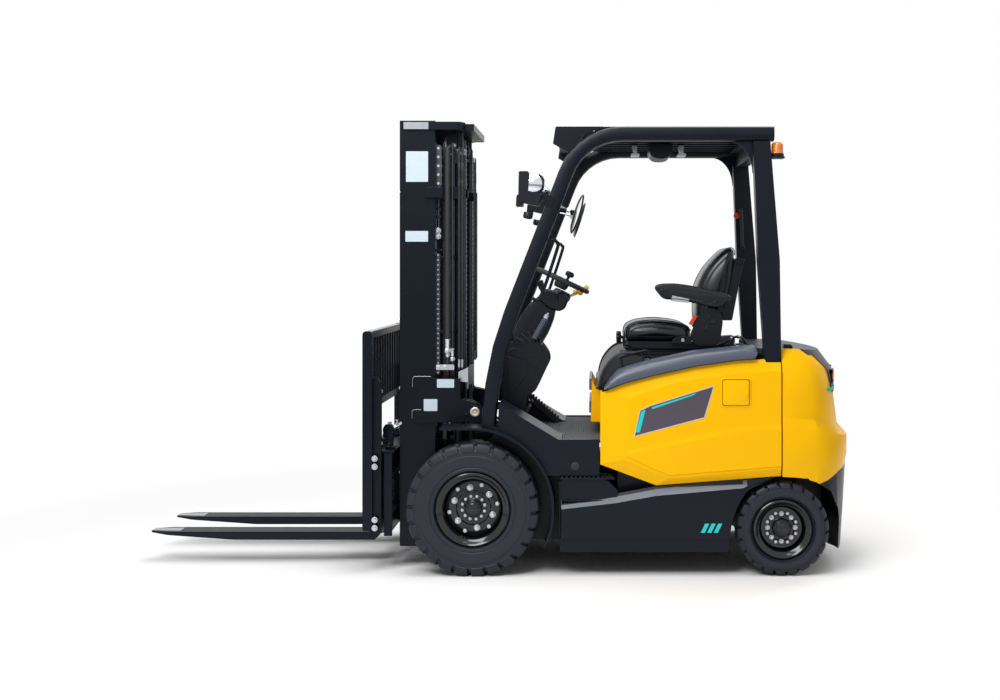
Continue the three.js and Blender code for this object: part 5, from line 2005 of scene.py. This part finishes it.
class FORKLIFT_OT_mast(bpy.types.Operator):
    """Fits the mast: tilt brackets, hoses and pipes, leaf chains, sheaves and plates"""

    bl_idname = "forklift.mast"
    bl_label = "Mast fittings"

    def execute(self, context):
        settings = context.scene.forklift_mast
        hose, pitch = settings.hose_diameter * 1000, settings.chain_pitch * 1000
        both_sides(tilt_ear, "tilt_ear", "mast_paint", "mast_outer", 1.5)
        both_sides(tilt_pin, "tilt_pin_collar", "mast_paint", "mast_outer", 0.8)
        both_sides(tilt_pin_end, "tilt_pin_end", "zinc", "mast_outer", 0.6)
        both_sides(grease_cap, "grease_cap", "abs_yellow", "mast_outer")
        make_each(
            "mast_outer",
            (mast_brackets(), "mast_brackets", "mast_paint", 1.5),
            (mast_bolts(), "mast_bolts", "zinc", 0.5),
            (mast_hoses(hose), "mast_hoses", "hose"),
            (mast_pipes(), "mast_pipes", "hose"),
            (hose_fittings(), "hose_fittings", "zinc", 0.6),
            (outer_chain(), "hose_guide_chain", "chain"),
            (outer_chain_pins(), "hose_guide_chain_pins", "zinc"),
        )
        for name, spot in (
            ("chart_plate", (247, 359, 1952, 2107)), ("upper_notice_plate", (247, 362, 1648, 1702))
        ):
            make(label_plate(*spot, 335.2), name, "plate", "mast_outer")
        for name, spot in (
            ("lower_notice_plate", (112, 199, 908, 951)), ("side_notice_plate", (197, 266, 790, 850))
        ):
            make(label_plate(*spot, 357.2), name, "plate", "mast_outer")
        make(gland_rings(), "lift_cylinder_glands", "machined", "mast_outer", 0.5)
        make_each(
            "mast_inner",
            (lift_rod_sleeves(), "lift_rod_chrome", "chrome"),
            (lift_chain(pitch), "lift_chain_links", "chain", 0, 2, ["lift_chains"]),
            (sheaves(), "chain_sheaves", "machined", 0.5),
        )
        make_each(
            "mast_outer",
            # pale strips on the ear's edges: painted highlights
            (ear_painted_highlights(), "ear_worn_edges", "machined"),
            (hose_bracket(), "hose_brackets", "zinc", 0.8),
        )
        make_each(
            "mast_inner",
            (crown_wings(), "crown_wings", "mast_paint", 1.5),
            # pale sheets on the crown wings' faces: a painted highlight
            (crown_painted_highlights(), "crown_worn_edges", "machined"),
            (crown_bolts(), "crown_bolts", "zinc", 0.5),
        )
        spots = chain_run(SHEAVE_X + SHEAVE_R, SHEAVE_Z, CHAIN_FOOT_Z, pitch)
        run = leaf_chain(Form(), spots, SHEAVE_Y, CHAIN_WIDTH, pitch)
        front = make(run.mirror_y(), "lift_chain_front_run", "chain", "mast_inner")
        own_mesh(front)
        return {"FINISHED"}


# ----- carriage and forks


def side_bolts():
    form = Form()
    spots = [(488, 510, 571), (488, 510, 531), (488, 510, 268), (488, 510, 228)]
    form.screws(spots, ACROSS, 18, 10, 3)
    form.screws([(470, 453, 900), (470, 453, 640)], ACROSS, 15, 8, 3)
    return form.mirror_y()


def backrest_cap():
    """A thin pale bare-steel strip along the backrest's top."""
    return Form().prism(rect(507, 543, 1197, 1198.2), -474, 474)


def shift_cylinder():
    form = Form().rod((SHIFT_X, -166, SHIFT_Z), (SHIFT_X, 166, SHIFT_Z), 24, 28)
    for y in (144, -180):
        form.lathe([(0, 0), (29, 0), (30, 3), (30, 34), (28, 36), (0, 36)], (SHIFT_X, y, SHIFT_Z), ACROSS, 32)
    return form


def shift_rod():
    return Form().rod((SHIFT_X, -298, SHIFT_Z), (SHIFT_X, 298, SHIFT_Z), 14, 24)


def valve_block():
    """Hose junction on top of the side shifter."""
    form = Form()
    form.prism(
        [
            (424, 611), (440, 611), (440, 640), (470, 656, 6), (474, 700, 8), (462, 722, 8), (430, 722, 8),
            (420, 690, 6),
        ],
        322, 362,
    )
    form.prism(rect(410, 460, 601, 611, 3), 316, 368)
    return form.prism(rect(424, 466, 660, 690, 6), 300, 322)


def valve_fittings():
    form = Form()
    form.nut((418, 346, 706), (-1, 0, 0.5), 22, 16)
    form.lathe([(0, 0), (9, 0), (9, 30), (0, 32)], (404, 346, 713), (-1, 0, 0.6), 18)
    form.nut((440, 346, 722), UP, 20, 12)
    return form


def fork_latch():
    """The spring pin that locks a fork in a notch of the carriage."""
    form = Form()
    form.prism([(470, 637, 3), (500, 637, 3), (500, 660, 6), (470, 660, 6)], -14, 14)
    form.lathe([(0, 0), (8, 0), (8, 12), (12, 14), (12, 20), (0, 22)], (485, 0, 660), UP, 20)
    return form


def fork_wear():
    """The bare steel rubbed bright at a fork's tip."""
    points = [(FORK_TIP - 150, -40), (FORK_TIP - 2, -26), (FORK_TIP - 2, 26), (FORK_TIP - 150, 40)]
    return Form().prism(points, 159.1, 159.7, "Z")


def roller_caps():
    form = Form()
    for z in (262, 590):
        form.lathe([(0, 0), (38, 0), (40, 2), (40, 4), (26, 6), (22, 3), (0, 3)], (301, 243, z), ACROSS, 36)
    return form.mirror_y()


class FORKLIFT_OT_carriage(bpy.types.Operator):
    """Fits the carriage, side shifter, load backrest and forks"""

    bl_idname = "forklift.carriage"
    bl_label = "Carriage and forks"

    def execute(self, context):
        make_each(
            "shifter",
            (side_bolts(), "backrest_bolts", "zinc", 0.6),
            # a thin pale strip along the backrest's top
            (backrest_cap(), "backrest_rub_strip", "machined"),
        )
        make(shift_cylinder(), "side_shift_cylinder", "mast_paint", "fork_carriage", 1.0)
        make_each(
            "shifter",
            (shift_rod(), "side_shift_rod", "chrome"),
            (valve_block(), "hose_junction", "mast_paint", 1.5),
            (valve_fittings(), "hose_junction_fittings", "zinc", 0.5),
        )
        make(roller_caps(), "carriage_roller_caps", "machined", "fork_carriage", 0.5)
        for side, label in SIDES:
            across = Matrix.Translation((0, side * 200, 0))
            make(fork_latch().moved(across), f"{label}_fork_latch", "zinc", f"fork_{label}", 0.6)
            make(fork_wear().moved(across), f"{label}_fork_wear", "machined", f"fork_{label}")
        return {"FINISHED"}


# ----- floor, light and camera

SHADOW_REACH = (1.5, 3.4)  # metres from the middle where the floor starts and ends its turn to white
CAMERA_X, EYE_HEIGHT = -614, 1509
CAMERA_SHIFT = (-0.0975, -0.081)


def stage_floor(radius):
    """A pale round floor that turns to plain white for the camera far from the machine."""
    form = bmesh.new()
    bmesh.ops.create_circle(form, cap_ends=True, segments=96, radius=radius)
    data = bpy.data.meshes.new("studio_floor")
    form.to_mesh(data)
    form.free()
    floor = add_object("studio_floor", data)
    material = bpy.data.materials.new("Pale studio floor")
    tree = blank_tree(material)
    paint = add_node(tree, "ShaderNodeBsdfDiffuse", Color=linear("#F4F4F4"))
    glow = add_node(tree, "ShaderNodeEmission", Color=(1, 1, 1, 1), Strength=1.0)
    spot = add_node(tree, "ShaderNodeTexCoord").outputs["Object"]
    reach = add_node(tree, "ShaderNodeVectorMath", {0: spot}, operation="LENGTH")
    away = add_node(tree, "ShaderNodeMapRange", {"Value": reach.outputs["Value"]})
    away.inputs["From Min"].default_value, away.inputs["From Max"].default_value = SHADOW_REACH
    seen = add_node(tree, "ShaderNodeLightPath")
    both = add_node(
        tree, "ShaderNodeMath", {0: away.outputs["Result"], 1: seen.outputs["Is Camera Ray"]},
        operation="MULTIPLY",
    )
    mixed = add_node(
        tree, "ShaderNodeMixShader",
        {0: both.outputs["Value"], 1: paint.outputs["BSDF"], 2: glow.outputs["Emission"]},
    )
    add_node(tree, "ShaderNodeOutputMaterial", {"Surface": mixed.outputs["Shader"]})
    data.materials.append(material)


def stage_world(strength):
    """White to the eye and in reflections, softer as light on the machine."""
    world = bpy.data.worlds.new("Studio")
    bpy.context.scene.world = world
    tree = blank_tree(world)
    path = add_node(tree, "ShaderNodeLightPath")
    seen = add_node(
        tree, "ShaderNodeMath", {0: path.outputs["Is Camera Ray"], 1: path.outputs["Is Transmission Ray"]},
        operation="MAXIMUM",
    )
    seen = add_node(
        tree, "ShaderNodeMath", {0: seen.outputs["Value"], 1: path.outputs["Is Glossy Ray"]},
        operation="MAXIMUM",
    )
    level = add_node(tree, "ShaderNodeMapRange", {"Value": seen.outputs["Value"]})
    level.inputs["To Min"].default_value = strength
    level.inputs["To Max"].default_value = 1.0
    sky = add_node(tree, "ShaderNodeBackground", {"Strength": level.outputs["Result"]}, Color=(1, 1, 1, 1))
    add_node(tree, "ShaderNodeOutputWorld", {"Surface": sky.outputs["Background"]})


def stage_light(name, spot, target, size, power, mirrored=True):
    data = bpy.data.lights.new(name, "AREA")
    data.shape = "RECTANGLE"
    data.size, data.size_y = size
    data.energy = power
    light = add_object(name, data)
    light.location = spot
    light.visible_glossy = mirrored
    light.rotation_euler = (Vector(target) - Vector(spot)).to_track_quat("-Z", "Y").to_euler()


class FORKLIFT_OT_stage(bpy.types.Operator):
    """Sets up the floor, the lights and the camera"""

    bl_idname = "forklift.stage"
    bl_label = "Stage"

    def execute(self, context):
        settings = context.scene.forklift_stage
        stage_floor(30.0)
        stage_world(settings.world_strength)
        stage_light("Key", (1.5, 3.6, 4.6), (0, 0, 0.9), (3.0, 2.0), settings.key_power)
        stage_light("Top", (-0.5, 0.2, 5.0), (0, 0, 0.8), (4.0, 2.5), settings.top_power)
        stage_light("Rear fill", (-3.8, -2.8, 3.0), (0, 0, 1.0), (2.5, 2.5), settings.fill_power, False)
        data = bpy.data.cameras.new("Camera")
        data.lens = settings.lens
        data.shift_x, data.shift_y = CAMERA_SHIFT
        camera = add_object("Camera", data)
        camera.location = place(CAMERA_X, settings.camera_distance * 1000, EYE_HEIGHT)
        camera.rotation_euler = (math.radians(90), 0, math.pi)
        context.scene.camera = camera
        context.scene.view_settings.view_transform = "Standard"
        return {"FINISHED"}


# ----- panel and registration

STEPS = (
    FORKLIFT_OT_stage,
    FORKLIFT_OT_finishes,
    FORKLIFT_OT_tyres,
    FORKLIFT_OT_rims,
    FORKLIFT_OT_bodywork,
    FORKLIFT_OT_guard,
    FORKLIFT_OT_controls,
    FORKLIFT_OT_seat,
    FORKLIFT_OT_mast,
    FORKLIFT_OT_carriage,
)


class FORKLIFT_PT_build(bpy.types.Panel):
    """Lists the settings and the steps that build the forklift"""

    bl_label = "Forklift"
    bl_idname = "FORKLIFT_PT_build"
    bl_space_type = "VIEW_3D"
    bl_region_type = "UI"
    bl_category = "Forklift"

    def draw(self, context):
        for attribute, group in SETTINGS:
            box = self.layout.box()
            box.label(text=group.__name__)
            for key in group.__annotations__:
                box.prop(getattr(context.scene, attribute), key)
        for step in STEPS:
            self.layout.operator(step.bl_idname)


def register():
    for attribute, group in SETTINGS:
        bpy.utils.register_class(group)
        setattr(bpy.types.Scene, attribute, bpy.props.PointerProperty(type=group))
    for step in STEPS:
        bpy.utils.register_class(step)
    bpy.utils.register_class(FORKLIFT_PT_build)


def unregister():
    bpy.utils.unregister_class(FORKLIFT_PT_build)
    for step in reversed(STEPS):
        bpy.utils.unregister_class(step)
    for attribute, group in reversed(SETTINGS):
        delattr(bpy.types.Scene, attribute)
        bpy.utils.unregister_class(group)


def main():
    """Builds every piece."""
    register()
    for step in STEPS:
        family, name = step.bl_idname.split(".")
        getattr(getattr(bpy.ops, family), name)()


if __name__ == "__main__":
    main()
